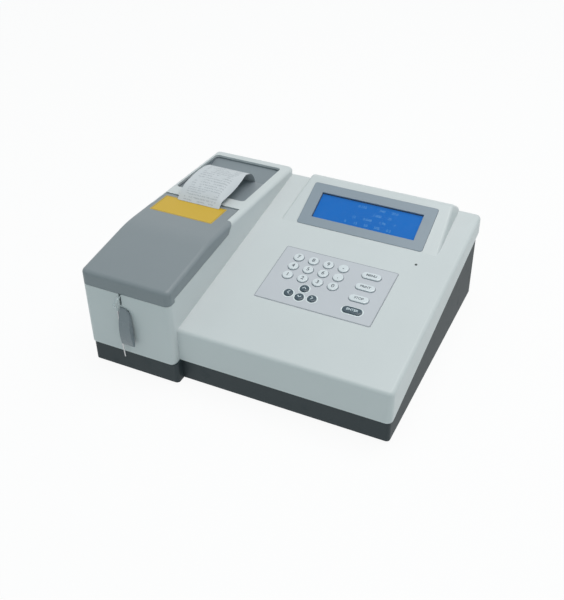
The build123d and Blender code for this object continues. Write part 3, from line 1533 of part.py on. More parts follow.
def pump_motor():
    """The pump's motor, screwed up under the deck, with a bore for the rotor's shaft."""
    low = DECK_HEIGHT - PUMP_MOTOR_LENGTH
    body = cylinder_z(PUMP_MOTOR_RADIUS, low, DECK_HEIGHT, PUMP_X, PUMP_Y)
    body = chamfer(body.faces().sort_by(Axis.Z)[0].edges(), 1.5)
    bore = cylinder_z(PUMP_SHAFT_RADIUS + SHAFT_FIT, DECK_HEIGHT - 6.5, BIG, PUMP_X, PUMP_Y)
    return body - bore


def pump_tube():
    """The pump's tube: from the flow cell round the track, then below the deck to the waste outlet."""
    level = DECK_TOP + PUMP_TUBE_HEIGHT
    ring = PUMP_TRACK_RADIUS - PUMP_TUBE_RADIUS - PUMP_TUBE_FIT
    front = PUMP_Y - PUMP_HOUSING_RADIUS - PUMP_TUBE_LEAD
    start_x = CELL_X + CELL_PORT_REACH
    inner_end = BASE_REAR_Y - BASE_REAR_WALL - SPIGOT_INNER_LENGTH
    path = round_path(
        [
            (start_x, OPTICAL_AXIS_Y, CELL_PORT_TOP),
            (start_x, OPTICAL_AXIS_Y, CELL_PORT_TOP + PUMP_TUBE_LEAD),
            (start_x - PUMP_TUBE_LEAD, OPTICAL_AXIS_Y + PUMP_TUBE_ENTRY, CELL_PORT_TOP + 3.0),
            (PUMP_X + ring, front, level),
            (PUMP_X + ring, PUMP_Y + ring, level),
            (PUMP_X - ring, PUMP_Y + ring, level),
            (PUMP_X - ring, front, level),
            (PUMP_X - ring, front - 6.0, SPIGOT_HEIGHT),
            (SPIGOT_X, inner_end - PUMP_TUBE_EXIT, SPIGOT_HEIGHT),
            (SPIGOT_X, inner_end, SPIGOT_HEIGHT),
        ],
        [4.0, 8.0, 6.0, ring - 0.05, ring - 0.05, 5.0, 12.0, 25.0],
    )
    return tube_along(path, PUMP_TUBE_RADIUS)


# Filter wheel, lamp and detector, hung below the deck beside the optics block

MOTOR_PLATE_X = OPTICS_LEFT - MOTOR_PLATE_THICKNESS
WHEEL_CENTRE_HEIGHT = OPTICAL_AXIS_HEIGHT - FILTER_RING_RADIUS
WHEEL_RIGHT = MOTOR_PLATE_X - FILTER_WHEEL_GAP
WHEEL_LEFT = WHEEL_RIGHT - FILTER_WHEEL_THICKNESS
WHEEL_SHAFT_END = OPTICS_LEFT + FILTER_SHAFT_DEPTH


def filter_motor():
    """The filter wheel's motor on the plate that hangs it from the deck."""
    reach = FILTER_MOTOR_RADIUS + MOTOR_PLATE_MARGIN
    plate = block(
        MOTOR_PLATE_X,
        OPTICS_LEFT,
        OPTICAL_AXIS_Y - reach,
        OPTICAL_AXIS_Y + reach,
        WHEEL_CENTRE_HEIGHT - reach,
        DECK_HEIGHT,
    )
    plate = plate - cylinder_x(
        LIGHT_BORE_RADIUS, 0, OPTICS_LEFT + 1.0, OPTICAL_AXIS_Y, OPTICAL_AXIS_HEIGHT
    )
    body = cylinder_x(
        FILTER_MOTOR_RADIUS,
        OPTICS_LEFT,
        OPTICS_LEFT + FILTER_MOTOR_LENGTH,
        OPTICAL_AXIS_Y,
        WHEEL_CENTRE_HEIGHT,
    )
    bore = cylinder_x(
        FILTER_SHAFT_RADIUS + SHAFT_FIT,
        0,
        WHEEL_SHAFT_END + 1.0,
        OPTICAL_AXIS_Y,
        WHEEL_CENTRE_HEIGHT,
    )
    return plate + body - bore


def filter_wheel():
    """The wheel with its ring of filter seats, on the shaft that goes into the motor."""
    wheel = cylinder_x(
        FILTER_WHEEL_RADIUS, WHEEL_LEFT, WHEEL_RIGHT, OPTICAL_AXIS_Y, WHEEL_CENTRE_HEIGHT
    )
    for index in range(FILTER_COUNT):
        angle = 2 * math.pi * index / FILTER_COUNT
        y = OPTICAL_AXIS_Y + FILTER_RING_RADIUS * math.sin(angle)
        z = WHEEL_CENTRE_HEIGHT + FILTER_RING_RADIUS * math.cos(angle)
        wheel = wheel - cylinder_x(FILTER_RADIUS, WHEEL_LEFT + FILTER_SEAT, WHEEL_RIGHT + 1, y, z)
        wheel = wheel - cylinder_x(LIGHT_BORE_RADIUS, WHEEL_LEFT - 1, WHEEL_RIGHT, y, z)
    shaft = cylinder_x(
        FILTER_SHAFT_RADIUS, WHEEL_LEFT, WHEEL_SHAFT_END, OPTICAL_AXIS_Y, WHEEL_CENTRE_HEIGHT
    )
    return wheel + shaft


def lamp_module():
    """The lamp's finned metal housing, with its light bore facing the filter wheel."""
    right = LAMP_MODULE_LEFT + LAMP_MODULE_LENGTH
    low = DECK_HEIGHT - LAMP_MODULE_HEIGHT
    front = OPTICAL_AXIS_Y - LAMP_MODULE_WIDTH / 2
    back = OPTICAL_AXIS_Y + LAMP_MODULE_WIDTH / 2
    body = block(LAMP_MODULE_LEFT, right, front, back, low, DECK_HEIGHT)
    pitch = (LAMP_MODULE_WIDTH - LAMP_FIN_THICKNESS) / LAMP_FIN_COUNT
    for index in range(LAMP_FIN_COUNT):
        y0 = front + LAMP_FIN_THICKNESS + index * pitch
        body = body - block(
            LAMP_MODULE_LEFT - 1.0,
            LAMP_MODULE_LEFT + LAMP_FIN_DEPTH,
            y0,
            y0 + pitch - LAMP_FIN_THICKNESS,
            low - 1.0,
            DECK_HEIGHT - LAMP_FIN_THICKNESS,
        )
    return body - cylinder_x(
        LIGHT_BORE_RADIUS, right - LAMP_FIN_DEPTH, right + 1.0, OPTICAL_AXIS_Y, OPTICAL_AXIS_HEIGHT
    )


def detector_board():
    """The detector's small board on the far side of the optics block."""
    left = OPTICS_LEFT + OPTICS_LENGTH
    board = block(
        left,
        left + BOARD_THICKNESS,
        OPTICAL_AXIS_Y - DETECTOR_BOARD_WIDTH / 2,
        OPTICAL_AXIS_Y + DETECTOR_BOARD_WIDTH / 2,
        DECK_HEIGHT - DETECTOR_BOARD_HEIGHT - 2.0,
        DECK_HEIGHT - 2.0,
    )
    amplifier = block(
        left + BOARD_THICKNESS,
        left + BOARD_THICKNESS + DETECTOR_AMPLIFIER_DEPTH,
        OPTICAL_AXIS_Y - DETECTOR_AMPLIFIER_WIDTH / 2,
        OPTICAL_AXIS_Y + DETECTOR_AMPLIFIER_WIDTH / 2,
        OPTICAL_AXIS_HEIGHT + LIGHT_BORE_RADIUS + 2.0,
        OPTICAL_AXIS_HEIGHT + LIGHT_BORE_RADIUS + 2.0 + DETECTOR_AMPLIFIER_HEIGHT,
    )
    return board + amplifier


# Printer

def printer_tray():
    """The liner of the printer recess: a shelf, a step down to the paper slot and a back slope."""
    wall = TRAY_WALL
    step_back = TRAY_STEP_Y + TRAY_STEP_RUN
    air = side_prism(
        above_top(
            (
                (RECESS_FRONT_Y, TRAY_STEP_DEPTH),
                (RECESS_FRONT_Y, -TRAY_SHELF_DEPTH),
                (TRAY_STEP_Y, -TRAY_SHELF_DEPTH),
                (TRAY_STEP_Y, -TRAY_STEP_DEPTH),
                (step_back, -TRAY_STEP_DEPTH),
                (RECESS_BACK_Y, -TRAY_BACK_DEPTH),
                (RECESS_BACK_Y, TRAY_STEP_DEPTH),
            )
        ),
        RECESS_LEFT,
        RECESS_RIGHT,
    ) & recess_zone()
    liner = side_prism(
        above_top(
            (
                (RECESS_FRONT_Y - wall, -TRAY_TOP_DEPTH),
                (RECESS_FRONT_Y - wall, -TRAY_SHELF_DEPTH - wall),
                (TRAY_STEP_Y - wall, -TRAY_SHELF_DEPTH - wall),
                (TRAY_STEP_Y - wall, -TRAY_STEP_DEPTH - wall),
                (step_back + wall, -TRAY_STEP_DEPTH - wall),
                (RECESS_BACK_Y + wall, -TRAY_BACK_DEPTH - wall),
                (RECESS_BACK_Y + wall, -TRAY_TOP_DEPTH),
            )
        ),
        RECESS_LEFT - wall,
        RECESS_RIGHT + wall,
    )
    slot_half = PAPER_WIDTH / 2 + SLOT_MARGIN
    slot = block(
        PAPER_CENTRE_X - slot_half,
        PAPER_CENTRE_X + slot_half,
        TRAY_STEP_Y + SLOT_SIDE_GAP,
        step_back - SLOT_SIDE_GAP,
        0,
        tower_top(TRAY_STEP_Y),
    )
    return liner - air - slot


PAPER_LEFT = PAPER_CENTRE_X - PAPER_WIDTH / 2
PAPER_RIGHT = PAPER_CENTRE_X + PAPER_WIDTH / 2
PRINTER_LEFT = PAPER_LEFT - PRINTER_SIDE_GAP - PRINTER_SIDE_THICKNESS
PRINTER_RIGHT = PAPER_RIGHT + PRINTER_SIDE_GAP + PRINTER_SIDE_THICKNESS
PLATEN_HEIGHT = tower_top(PLATEN_CENTRE_Y) - PLATEN_DEPTH
PRINTER_SIDE_TOP = PRINTER_FOOT_HEIGHT + PRINTER_SIDE_HEIGHT


def printer_stands():
    """Where the base's tall stands carry the printer's foot."""
    return [
        (x, y)
        for x in (PRINTER_STAND_LEFT, PRINTER_STAND_RIGHT)
        for y in (PRINTER_FRONT_Y + PRINTER_STAND_INSET, PRINTER_BACK_Y - PRINTER_STAND_INSET)
    ]


def printer_mechanism():
    """The printer's metal frame with its print head, platen holes and the paper roll's spindle."""
    frame = block(
        PRINTER_LEFT,
        PRINTER_RIGHT,
        PRINTER_FRONT_Y,
        PRINTER_BACK_Y,
        PRINTER_FOOT_HEIGHT,
        PRINTER_FOOT_HEIGHT + PRINTER_FOOT_THICKNESS,
    )
    for x0 in (PRINTER_LEFT, PRINTER_RIGHT - PRINTER_SIDE_THICKNESS):
        frame = frame + block(
            x0,
            x0 + PRINTER_SIDE_THICKNESS,
            PRINTER_FRONT_Y,
            PRINTER_BACK_Y,
            PRINTER_FOOT_HEIGHT,
            PRINTER_SIDE_TOP,
        )
    head_y = PLATEN_CENTRE_Y + PLATEN_RADIUS + PRINT_HEAD_GAP
    head = block(
        PRINTER_LEFT,
        PRINTER_RIGHT,
        head_y,
        head_y + PRINT_HEAD_THICKNESS,
        PLATEN_HEIGHT - PRINT_HEAD_HEIGHT / 2,
        min(PLATEN_HEIGHT + PRINT_HEAD_HEIGHT / 2, PRINTER_SIDE_TOP),
    )
    frame = frame + head
    frame = frame - cylinder_x(
        PLATEN_SHAFT_RADIUS + PRINTER_SHAFT_FIT, 0, BIG, PLATEN_CENTRE_Y, PLATEN_HEIGHT
    )
    return frame + cylinder_x(
        SPINDLE_RADIUS, PRINTER_LEFT, PRINTER_RIGHT, ROLL_CENTRE_Y, ROLL_CENTRE_HEIGHT
    )


def platen_roller():
    """The rubber roller that pulls the paper past the print head."""
    roller = cylinder_x(PLATEN_RADIUS, PAPER_LEFT, PAPER_RIGHT, PLATEN_CENTRE_Y, PLATEN_HEIGHT)
    return roller + cylinder_x(
        PLATEN_SHAFT_RADIUS, PRINTER_LEFT, PRINTER_RIGHT, PLATEN_CENTRE_Y, PLATEN_HEIGHT
    )


def paper_roll():
    """The roll of thermal paper, loose on its spindle."""
    roll = cylinder_x(ROLL_RADIUS, PAPER_LEFT, PAPER_RIGHT, ROLL_CENTRE_Y, ROLL_CENTRE_HEIGHT)
    return roll - cylinder_x(
        ROLL_CORE_RADIUS, PAPER_LEFT, PAPER_RIGHT, ROLL_CENTRE_Y, ROLL_CENTRE_HEIGHT
    )


def paper_strip():
    """The printed strip: out of the slot, over in an arch and down onto the lid."""
    run = [(TRAY_STEP_Y + behind, rise) for behind, rise in PAPER_PATH]
    path = above_top((*run, (PAPER_END_Y, PAPER_LID_GAP + PAPER_THICKNESS / 2)))
    line = Spline(*path)
    steps = len(path) * 2
    upper, lower = [], []
    for index in range(steps + 1):
        point = line @ (index / steps)
        along = line % (index / steps)
        normal = Vector(-along.Y, along.X) * (PAPER_THICKNESS / 2)
        upper.append((point.X - normal.X, point.Y - normal.Y))
        lower.append((point.X + normal.X, point.Y + normal.Y))
    over, under = Spline(*upper), Spline(*lower)
    edges = [over, Line(upper[-1], lower[-1]), under, Line(lower[0], upper[0])]
    strip = extrude(SIDE_PLANE * make_face(edges), PAPER_WIDTH)
    return Pos(PAPER_LEFT, 0, 0) * strip


# Rear panel

def rear_panel_cuts():
    """The openings in the base's back wall."""
    y0, y1 = BASE_REAR_Y - 2 * BASE_REAR_WALL, BASE_REAR_Y + 1.0
    cuts = []
    for index in range(GRILLE_SLOT_COUNT):
        rise = (index - (GRILLE_SLOT_COUNT - 1) / 2) * GRILLE_PITCH
        half = math.sqrt(FAN_BLADE_RADIUS**2 - rise**2)
        middle = FAN_HEIGHT + rise
        cuts.append(
            block(
                FAN_X - half,
                FAN_X + half,
                y0,
                y1,
                middle - GRILLE_SLOT_WIDTH / 2,
                middle + GRILLE_SLOT_WIDTH / 2,
            )
        )
    for x, z, width, tall in (
        (SERIAL_X, SERIAL_HEIGHT, SERIAL_BODY_WIDTH, SERIAL_BODY_TALL),
        (INLET_X, INLET_HEIGHT, INLET_BODY_WIDTH, INLET_BODY_TALL),
    ):
        half_width, half_tall = width / 2 + PANEL_FIT, tall / 2 + PANEL_FIT
        cuts.append(block(x - half_width, x + half_width, y0, y1, z - half_tall, z + half_tall))
    cuts.append(cylinder_y(SPIGOT_THREAD_RADIUS + PANEL_FIT, y0, y1, SPIGOT_X, SPIGOT_HEIGHT))
    return cuts


FAN_BACK_Y = BASE_REAR_Y - BASE_REAR_WALL
FAN_FRONT_Y = FAN_BACK_Y - FAN_THICKNESS
FAN_SPIDER = 3.0


def fan_frame():
    """The cooling fan's square frame, with the spider that carries the rotor's shaft."""
    half = FAN_SIZE / 2
    frame = block(
        FAN_X - half, FAN_X + half, FAN_FRONT_Y, FAN_BACK_Y, FAN_HEIGHT - half, FAN_HEIGHT + half
    )
    frame = fillet(frame.edges().filter_by(Axis.Y), 4.0)
    frame = frame - cylinder_y(FAN_BORE_RADIUS, 0, BIG, FAN_X, FAN_HEIGHT)
    spider = cylinder_y(FAN_HUB_RADIUS, FAN_FRONT_Y, FAN_FRONT_Y + FAN_SPIDER, FAN_X, FAN_HEIGHT)
    for angle in (45, 135):
        rib = Box(2 * FAN_BORE_RADIUS + 2.0, FAN_SPIDER, FAN_RIB_WIDTH)
        spider = spider + Pos(FAN_X, FAN_FRONT_Y + FAN_SPIDER / 2, FAN_HEIGHT) * (
            Rot(0, angle, 0) * rib
        )
    for x in (FAN_X - half + 5.0, FAN_X + half - 5.0):
        for z in (FAN_HEIGHT - half + 5.0, FAN_HEIGHT + half - 5.0):
            frame = frame - cylinder_y(2.2, 0, BIG, x, z)
    bore = cylinder_y(FAN_SHAFT_RADIUS + SHAFT_FIT, 0, BIG, FAN_X, FAN_HEIGHT)
    return frame + (spider - bore)


def fan_rotor():
    """The fan's hub and its pitched blades, on a shaft in the spider."""
    low = FAN_FRONT_Y + FAN_SPIDER + FAN_ROTOR_GAP
    high = FAN_BACK_Y - FAN_ROTOR_GAP
    rotor = cylinder_y(FAN_HUB_RADIUS, low, high, FAN_X, FAN_HEIGHT)
    middle = (low + high) / 2
    length = FAN_BLADE_RADIUS - FAN_HUB_RADIUS + FAN_RIB_WIDTH
    chord = (high - low - FAN_BLADE_THICKNESS) / math.cos(math.radians(FAN_BLADE_PITCH)) - 1.0
    for index in range(FAN_BLADE_COUNT):
        blade = Box(FAN_BLADE_THICKNESS, chord, length)
        blade = Rot(0, 0, FAN_BLADE_PITCH) * blade
        blade = Pos(0, 0, FAN_BLADE_RADIUS - length / 2) * blade
        blade = Rot(0, 360 * index / FAN_BLADE_COUNT, 0) * blade
        rotor = rotor + Pos(FAN_X, middle, FAN_HEIGHT) * blade
    sweep_limit = cylinder_y(FAN_BLADE_RADIUS, low, high, FAN_X, FAN_HEIGHT)
    rotor = rotor & sweep_limit
    return rotor + cylinder_y(FAN_SHAFT_RADIUS, FAN_FRONT_Y, low + 1.0, FAN_X, FAN_HEIGHT)


def serial_port():
    """The nine-way serial socket: a flange, a D-shaped shell and the body behind the panel."""
    flange = block(
        SERIAL_X - SERIAL_WIDTH / 2,
        SERIAL_X + SERIAL_WIDTH / 2,
        BASE_REAR_Y,
        BASE_REAR_Y + 1.0,
        SERIAL_HEIGHT - SERIAL_TALL / 2,
        SERIAL_HEIGHT + SERIAL_TALL / 2,
    )
    body = block(
        SERIAL_X - SERIAL_BODY_WIDTH / 2,
        SERIAL_X + SERIAL_BODY_WIDTH / 2,
        BASE_REAR_Y - 10.0,
        BASE_REAR_Y,
        SERIAL_HEIGHT - SERIAL_BODY_TALL / 2,
        SERIAL_HEIGHT + SERIAL_BODY_TALL / 2,
    )
    half_top, half_bottom, half_tall = 8.4, 7.2, 4.1
    shape = make_face(
        Polyline(
            (-half_bottom, -half_tall),
            (half_bottom, -half_tall),
            (half_top, half_tall),
            (-half_top, half_tall),
            close=True,
        )
    )
    shape = fillet(shape.vertices(), 1.6)
    shell = Pos(SERIAL_X, BASE_REAR_Y, SERIAL_HEIGHT) * extrude(FRONT_PLANE * shape, -5.0)
    return flange + body + shell


ROCKER_AXLE_Y = BASE_REAR_Y + INLET_FLANGE - ROCKER_AXLE_DEPTH


def power_inlet():
    """The mains inlet module: a socket with three flat pins, and the power switch's well."""
    face_y = BASE_REAR_Y + INLET_FLANGE
    flange = block(
        INLET_X - INLET_WIDTH / 2,
        INLET_X + INLET_WIDTH / 2,
        BASE_REAR_Y,
        face_y,
        INLET_HEIGHT - INLET_TALL / 2,
        INLET_HEIGHT + INLET_TALL / 2,
    )
    flange = chamfer(flange.edges().filter_by(Axis.Y), 4.0)
    body = block(
        INLET_X - INLET_BODY_WIDTH / 2,
        INLET_X + INLET_BODY_WIDTH / 2,
        BASE_REAR_Y - INLET_BODY_DEPTH,
        BASE_REAR_Y,
        INLET_HEIGHT - INLET_BODY_TALL / 2,
        INLET_HEIGHT + INLET_BODY_TALL / 2,
    )
    mouth = block(
        SOCKET_X - SOCKET_WIDTH / 2,
        SOCKET_X + SOCKET_WIDTH / 2,
        face_y - SOCKET_DEPTH,
        face_y + 1.0,
        INLET_HEIGHT - SOCKET_TALL / 2,
        INLET_HEIGHT + SOCKET_TALL / 2,
    )
    upper = [edge for edge in mouth.edges().filter_by(Axis.Y) if edge.center().Z > INLET_HEIGHT]
    mouth = chamfer(upper, SOCKET_CHAMFER)
    inlet = flange + body - mouth
    for x, z in ((-PIN_SPREAD, -PIN_RISE), (PIN_SPREAD, -PIN_RISE), (0.0, PIN_RISE)):
        inlet = inlet + block(
            SOCKET_X + x - PIN_WIDTH / 2,
            SOCKET_X + x + PIN_WIDTH / 2,
            face_y - SOCKET_DEPTH - 1.0,
            face_y - SOCKET_DEPTH + PIN_LENGTH,
            INLET_HEIGHT + z - PIN_TALL / 2,
            INLET_HEIGHT + z + PIN_TALL / 2,
        )
    reach = math.hypot(ROCKER_REACH, ROCKER_END_RISE) + ROCKER_GAP
    inlet = inlet - block(
        SWITCH_X - ROCKER_WIDTH / 2 - ROCKER_GAP,
        SWITCH_X + ROCKER_WIDTH / 2 + ROCKER_GAP,
        face_y - ROCKER_WELL_DEPTH,
        face_y + 1.0,
        INLET_HEIGHT - reach,
        INLET_HEIGHT + reach,
    )
    half = ROCKER_WIDTH / 2 + ROCKER_AXLE_LENGTH + ROCKER_AXLE_FIT
    return inlet - cylinder_x(
        ROCKER_AXLE_RADIUS + ROCKER_AXLE_FIT,
        SWITCH_X - half,
        SWITCH_X + half,
        ROCKER_AXLE_Y,
        INLET_HEIGHT,
    )


def switch_rocker():
    """The rocker, tipped to its off side, on two short axles."""
    profile = make_face(
        Polyline(
            (ROCKER_END_RISE, -ROCKER_REACH),
            (ROCKER_WAIST_RISE, 0),
            (ROCKER_END_RISE, ROCKER_REACH),
            (-1.0, ROCKER_REACH - 0.6),
            (-ROCKER_BELLY, ROCKER_REACH / 2),
            (-ROCKER_BELLY, -ROCKER_REACH / 2),
            (-1.0, -ROCKER_REACH + 0.6),
            close=True,
        )
    )
    body = Pos(-ROCKER_WIDTH / 2, 0, 0) * extrude(SIDE_PLANE * profile, ROCKER_WIDTH)
    half = ROCKER_WIDTH / 2 + ROCKER_AXLE_LENGTH
    body = body + cylinder_x(ROCKER_AXLE_RADIUS, -half, half, 0, 0)
    return Pos(SWITCH_X, ROCKER_AXLE_Y, INLET_HEIGHT) * (Rot(ROCKER_ANGLE / 2, 0, 0) * body)


def waste_fitting():
    """The waste outlet: a through-bored spigot with a nut each side of the panel."""
    inner_y = FAN_BACK_Y - SPIGOT_INNER_LENGTH
    outer_y = BASE_REAR_Y + SPIGOT_LENGTH
    middle_y = (FAN_BACK_Y + BASE_REAR_Y) / 2
    fitting = cylinder_y(SPIGOT_RADIUS, middle_y, outer_y, SPIGOT_X, SPIGOT_HEIGHT)
    fitting = fitting + cylinder_y(
        SPIGOT_INNER_RADIUS, inner_y, middle_y, SPIGOT_X, SPIGOT_HEIGHT
    )
    fitting = fitting + cylinder_y(
        SPIGOT_THREAD_RADIUS,
        FAN_BACK_Y - SPIGOT_NUT_THICKNESS,
        BASE_REAR_Y + SPIGOT_NUT_THICKNESS,
        SPIGOT_X,
        SPIGOT_HEIGHT,
    )
    nut = extrude(
        FRONT_PLANE * RegularPolygon(SPIGOT_NUT_SIZE / 2, 6, major_radius=False),
        -SPIGOT_NUT_THICKNESS,
    )
    fitting = fitting + Pos(SPIGOT_X, BASE_REAR_Y, SPIGOT_HEIGHT) * nut
    fitting = fitting + Pos(SPIGOT_X, FAN_BACK_Y - SPIGOT_NUT_THICKNESS, SPIGOT_HEIGHT) * nut
    return fitting - cylinder_y(SPIGOT_BORE_RADIUS, 0, BIG, SPIGOT_X, SPIGOT_HEIGHT)


# Electronics

def board_standoffs():
    """Where the main board stands on the base."""
    return [
        (x, y)
        for x in (MAIN_BOARD_X + STANDOFF_INSET, MAIN_BOARD_X + MAIN_BOARD_WIDTH - STANDOFF_INSET)
        for y in (MAIN_BOARD_Y + STANDOFF_INSET, MAIN_BOARD_Y + MAIN_BOARD_LENGTH - STANDOFF_INSET)
    ]


def main_board():
    """The main circuit board with its larger components."""
    low = BASE_FLOOR + STANDOFF_HEIGHT
    top = low + BOARD_THICKNESS
    board = block(
        MAIN_BOARD_X,
        MAIN_BOARD_X + MAIN_BOARD_WIDTH,
        MAIN_BOARD_Y,
        MAIN_BOARD_Y + MAIN_BOARD_LENGTH,
        low,
        top,
    )
    for share_x, share_y, width, length, tall in MAIN_BOARD_CHIPS:
        x0 = MAIN_BOARD_X + share_x * MAIN_BOARD_WIDTH - width / 2
        y0 = MAIN_BOARD_Y + share_y * MAIN_BOARD_LENGTH - length / 2
        board = board + block(x0, x0 + width, y0, y0 + length, top, top + tall)
    for index in range(CAPACITOR_COUNT):
        x = MAIN_BOARD_X + CAPACITOR_START + index * CAPACITOR_PITCH
        y = MAIN_BOARD_Y + MAIN_BOARD_LENGTH - CAPACITOR_PITCH
        board = board + cylinder_z(CAPACITOR_RADIUS, top, top + CAPACITOR_HEIGHT, x, y)
    return board


def power_supply():
    """The boxed power supply with its terminal strip."""
    box = block(
        SUPPLY_X,
        SUPPLY_X + SUPPLY_WIDTH,
        SUPPLY_Y,
        SUPPLY_Y + SUPPLY_LENGTH,
        BASE_FLOOR,
        BASE_FLOOR + SUPPLY_HEIGHT,
    )
    strip = block(
        SUPPLY_X - TERMINAL_DEPTH,
        SUPPLY_X,
        SUPPLY_Y + TERMINAL_DEPTH,
        SUPPLY_Y + SUPPLY_LENGTH - TERMINAL_DEPTH,
        BASE_FLOOR,
        BASE_FLOOR + TERMINAL_DEPTH,
    )
    return chamfer(box.edges().filter_by(Axis.Z), SUPPLY_SHEET) + strip


def status_lamp():
    """The small status lamp in the desk."""
    plane = desk_plane(LAMP_X, LAMP_Y)
    lamp = Pos(0, 0, LAMP_STANDS_PROUD - LAMP_LENGTH / 2) * Cylinder(LAMP_RADIUS, LAMP_LENGTH)
    lamp = fillet(lamp.faces().sort_by(Axis.Z)[-1].edges(), LAMP_RADIUS / 2)
    flange_top = -SHELL_WALL - LAMP_FIT
    flange = Pos(0, 0, flange_top - 0.5) * Cylinder(LAMP_RADIUS + LAMP_FLANGE, 1.0)
    return plane * (lamp + flange)


PARTS = {
    "upper_shell": upper_shell,
    "base_pan": base_pan,
    "sample_lid": sample_lid,
    "hinge_pins": hinge_pins,
    "display_bezel": display_bezel,
    "lcd_glass": lcd_glass,
    "lcd_module": lcd_module,
    "keypad_panel": keypad_panel,
    "keypad_board": keypad_board,
    "status_lamp": status_lamp,
    "aspirate_key": aspirate_key,
    "aspirate_switch": aspirate_switch,
    "sample_probe": sample_probe,
    "sample_tube": sample_tube,
    "sample_deck": sample_deck,
    "optics_block": optics_block,
    "flow_cell": flow_cell,
    "filter_motor": filter_motor,
    "filter_wheel": filter_wheel,
    "lamp_module": lamp_module,
    "detector_board": detector_board,
    "pump_housing": pump_housing,
    "pump_rotor": pump_rotor,
    "pump_motor": pump_motor,
    "pump_tube": pump_tube,
    "printer_tray": printer_tray,
    "printer_mechanism": printer_mechanism,
    "platen_roller": platen_roller,
    "paper_roll": paper_roll,
    "paper_strip": paper_strip,
    "fan_frame": fan_frame,
    "fan_rotor": fan_rotor,
    "serial_port": serial_port,
    "power_inlet": power_inlet,
    "switch_rocker": switch_rocker,
    "waste_fitting": waste_fitting,
    "main_board": main_board,
    "power_supply": power_supply,
    "rubber_feet": rubber_feet,
    "housing_screws": housing_screws,
}

for part_name, build in PARTS.items():
    write_part(part_name, build())
for key_name, key_kind, key_plane in key_places():
    write_part(key_name, keypad_key(key_kind, key_plane))
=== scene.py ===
"""Looks of the bench chemistry analyzer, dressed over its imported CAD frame.

Places are given as on the housing: in millimetres from the tower's left side, from its front face
and from the underside of the base. The function place turns them into the frame's metres.
"""

from __future__ import annotations

import logging
import math
from abc import ABC, abstractmethod
from dataclasses import dataclass
from enum import Enum
from functools import partialmethod
from typing import Callable, Optional, Sequence, Union

import bpy
from mathutils import Matrix, Vector

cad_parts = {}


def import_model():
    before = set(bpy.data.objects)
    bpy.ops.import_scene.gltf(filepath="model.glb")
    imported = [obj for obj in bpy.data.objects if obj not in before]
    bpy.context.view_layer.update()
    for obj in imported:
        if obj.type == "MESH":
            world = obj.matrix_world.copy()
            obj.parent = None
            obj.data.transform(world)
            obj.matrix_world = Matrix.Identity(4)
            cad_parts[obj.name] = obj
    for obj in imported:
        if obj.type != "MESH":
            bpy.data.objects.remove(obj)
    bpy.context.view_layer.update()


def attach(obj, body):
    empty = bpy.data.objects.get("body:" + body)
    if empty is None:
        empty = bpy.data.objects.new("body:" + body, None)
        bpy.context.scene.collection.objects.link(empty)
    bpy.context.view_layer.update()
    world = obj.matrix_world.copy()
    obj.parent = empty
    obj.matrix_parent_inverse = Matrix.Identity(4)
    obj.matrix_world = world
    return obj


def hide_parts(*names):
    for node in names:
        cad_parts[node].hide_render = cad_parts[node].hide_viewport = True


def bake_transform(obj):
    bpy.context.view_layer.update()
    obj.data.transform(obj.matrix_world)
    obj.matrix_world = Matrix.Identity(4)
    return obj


LOG = logging.getLogger("analyzer")
MM = 0.001
# The materials of the CAD nodes have names of their own, which these must not share
LOOK_PREFIX = "look_"
HOUSING_CORNER = Vector((-184.0, -163.0, 4.0))

Colour = tuple[float, float, float]
Span = tuple[float, float]
Point = tuple[float, float, float]


def place(x: float, y: float, z: float) -> Vector:
    """Turns a place on the housing into the frame.

    Args:
        x: Millimetres from the tower's left side.
        y: Millimetres behind the tower's front face.
        z: Millimetres above the underside of the base.

    Returns:
        The same place in the frame, in metres.
    """
    return (HOUSING_CORNER + Vector((x, y, z))) * MM


def srgb(red: float, green: float, blue: float) -> Colour:
    """Turns a colour as seen on a screen, from 0 to 255, into linear light.

    Args:
        red: Red, 0 to 255.
        green: Green, 0 to 255.
        blue: Blue, 0 to 255.

    Returns:
        The linear colour, 0 to 1.
    """
    shares = [channel / 255.0 for channel in (red, green, blue)]
    return tuple(
        share / 12.92 if share <= 0.04045 else ((share + 0.055) / 1.055) ** 2.4 for share in shares
    )


# Shader maths


@dataclass(eq=False)
class Wire:
    """A number that varies over a surface. Arithmetic on it adds Math nodes."""

    board: "Board"
    socket: bpy.types.NodeSocket

    def math(self, operation: str, other: "Feed", reflected: bool = False) -> "Wire":
        """Adds one Math node.

        Args:
            operation: The Math node's operation.
            other: The other number.
            reflected: Whether the other number comes first.

        Returns:
            The node's result.
        """
        feeds = {1: self, 0: other} if reflected else {0: self, 1: other}
        node = self.board.node("ShaderNodeMath", feeds, operation=operation)
        return Wire(self.board, node.outputs[0])

    __add__ = partialmethod(math, "ADD")
    __radd__ = partialmethod(math, "ADD", reflected=True)
    __sub__ = partialmethod(math, "SUBTRACT")
    __rsub__ = partialmethod(math, "SUBTRACT", reflected=True)
    __mul__ = partialmethod(math, "MULTIPLY")
    __mod__ = partialmethod(math, "FLOORED_MODULO")
    # 1 where it is so, else 0
    __gt__ = partialmethod(math, "GREATER_THAN")
    __lt__ = partialmethod(math, "LESS_THAN")

    def around(self, middle: float, swing: float) -> "Wire":
        """Turns noise into a value that swings round a middle."""
        return middle + (self - 0.5) * swing

    def clamped(self) -> "Wire":
        """Keeps the number from 0 to 1."""
        return self.math("MAXIMUM", 0.0).math("MINIMUM", 1.0)


Feed = Union[Wire, bpy.types.NodeSocket, float, int, Sequence[float]]


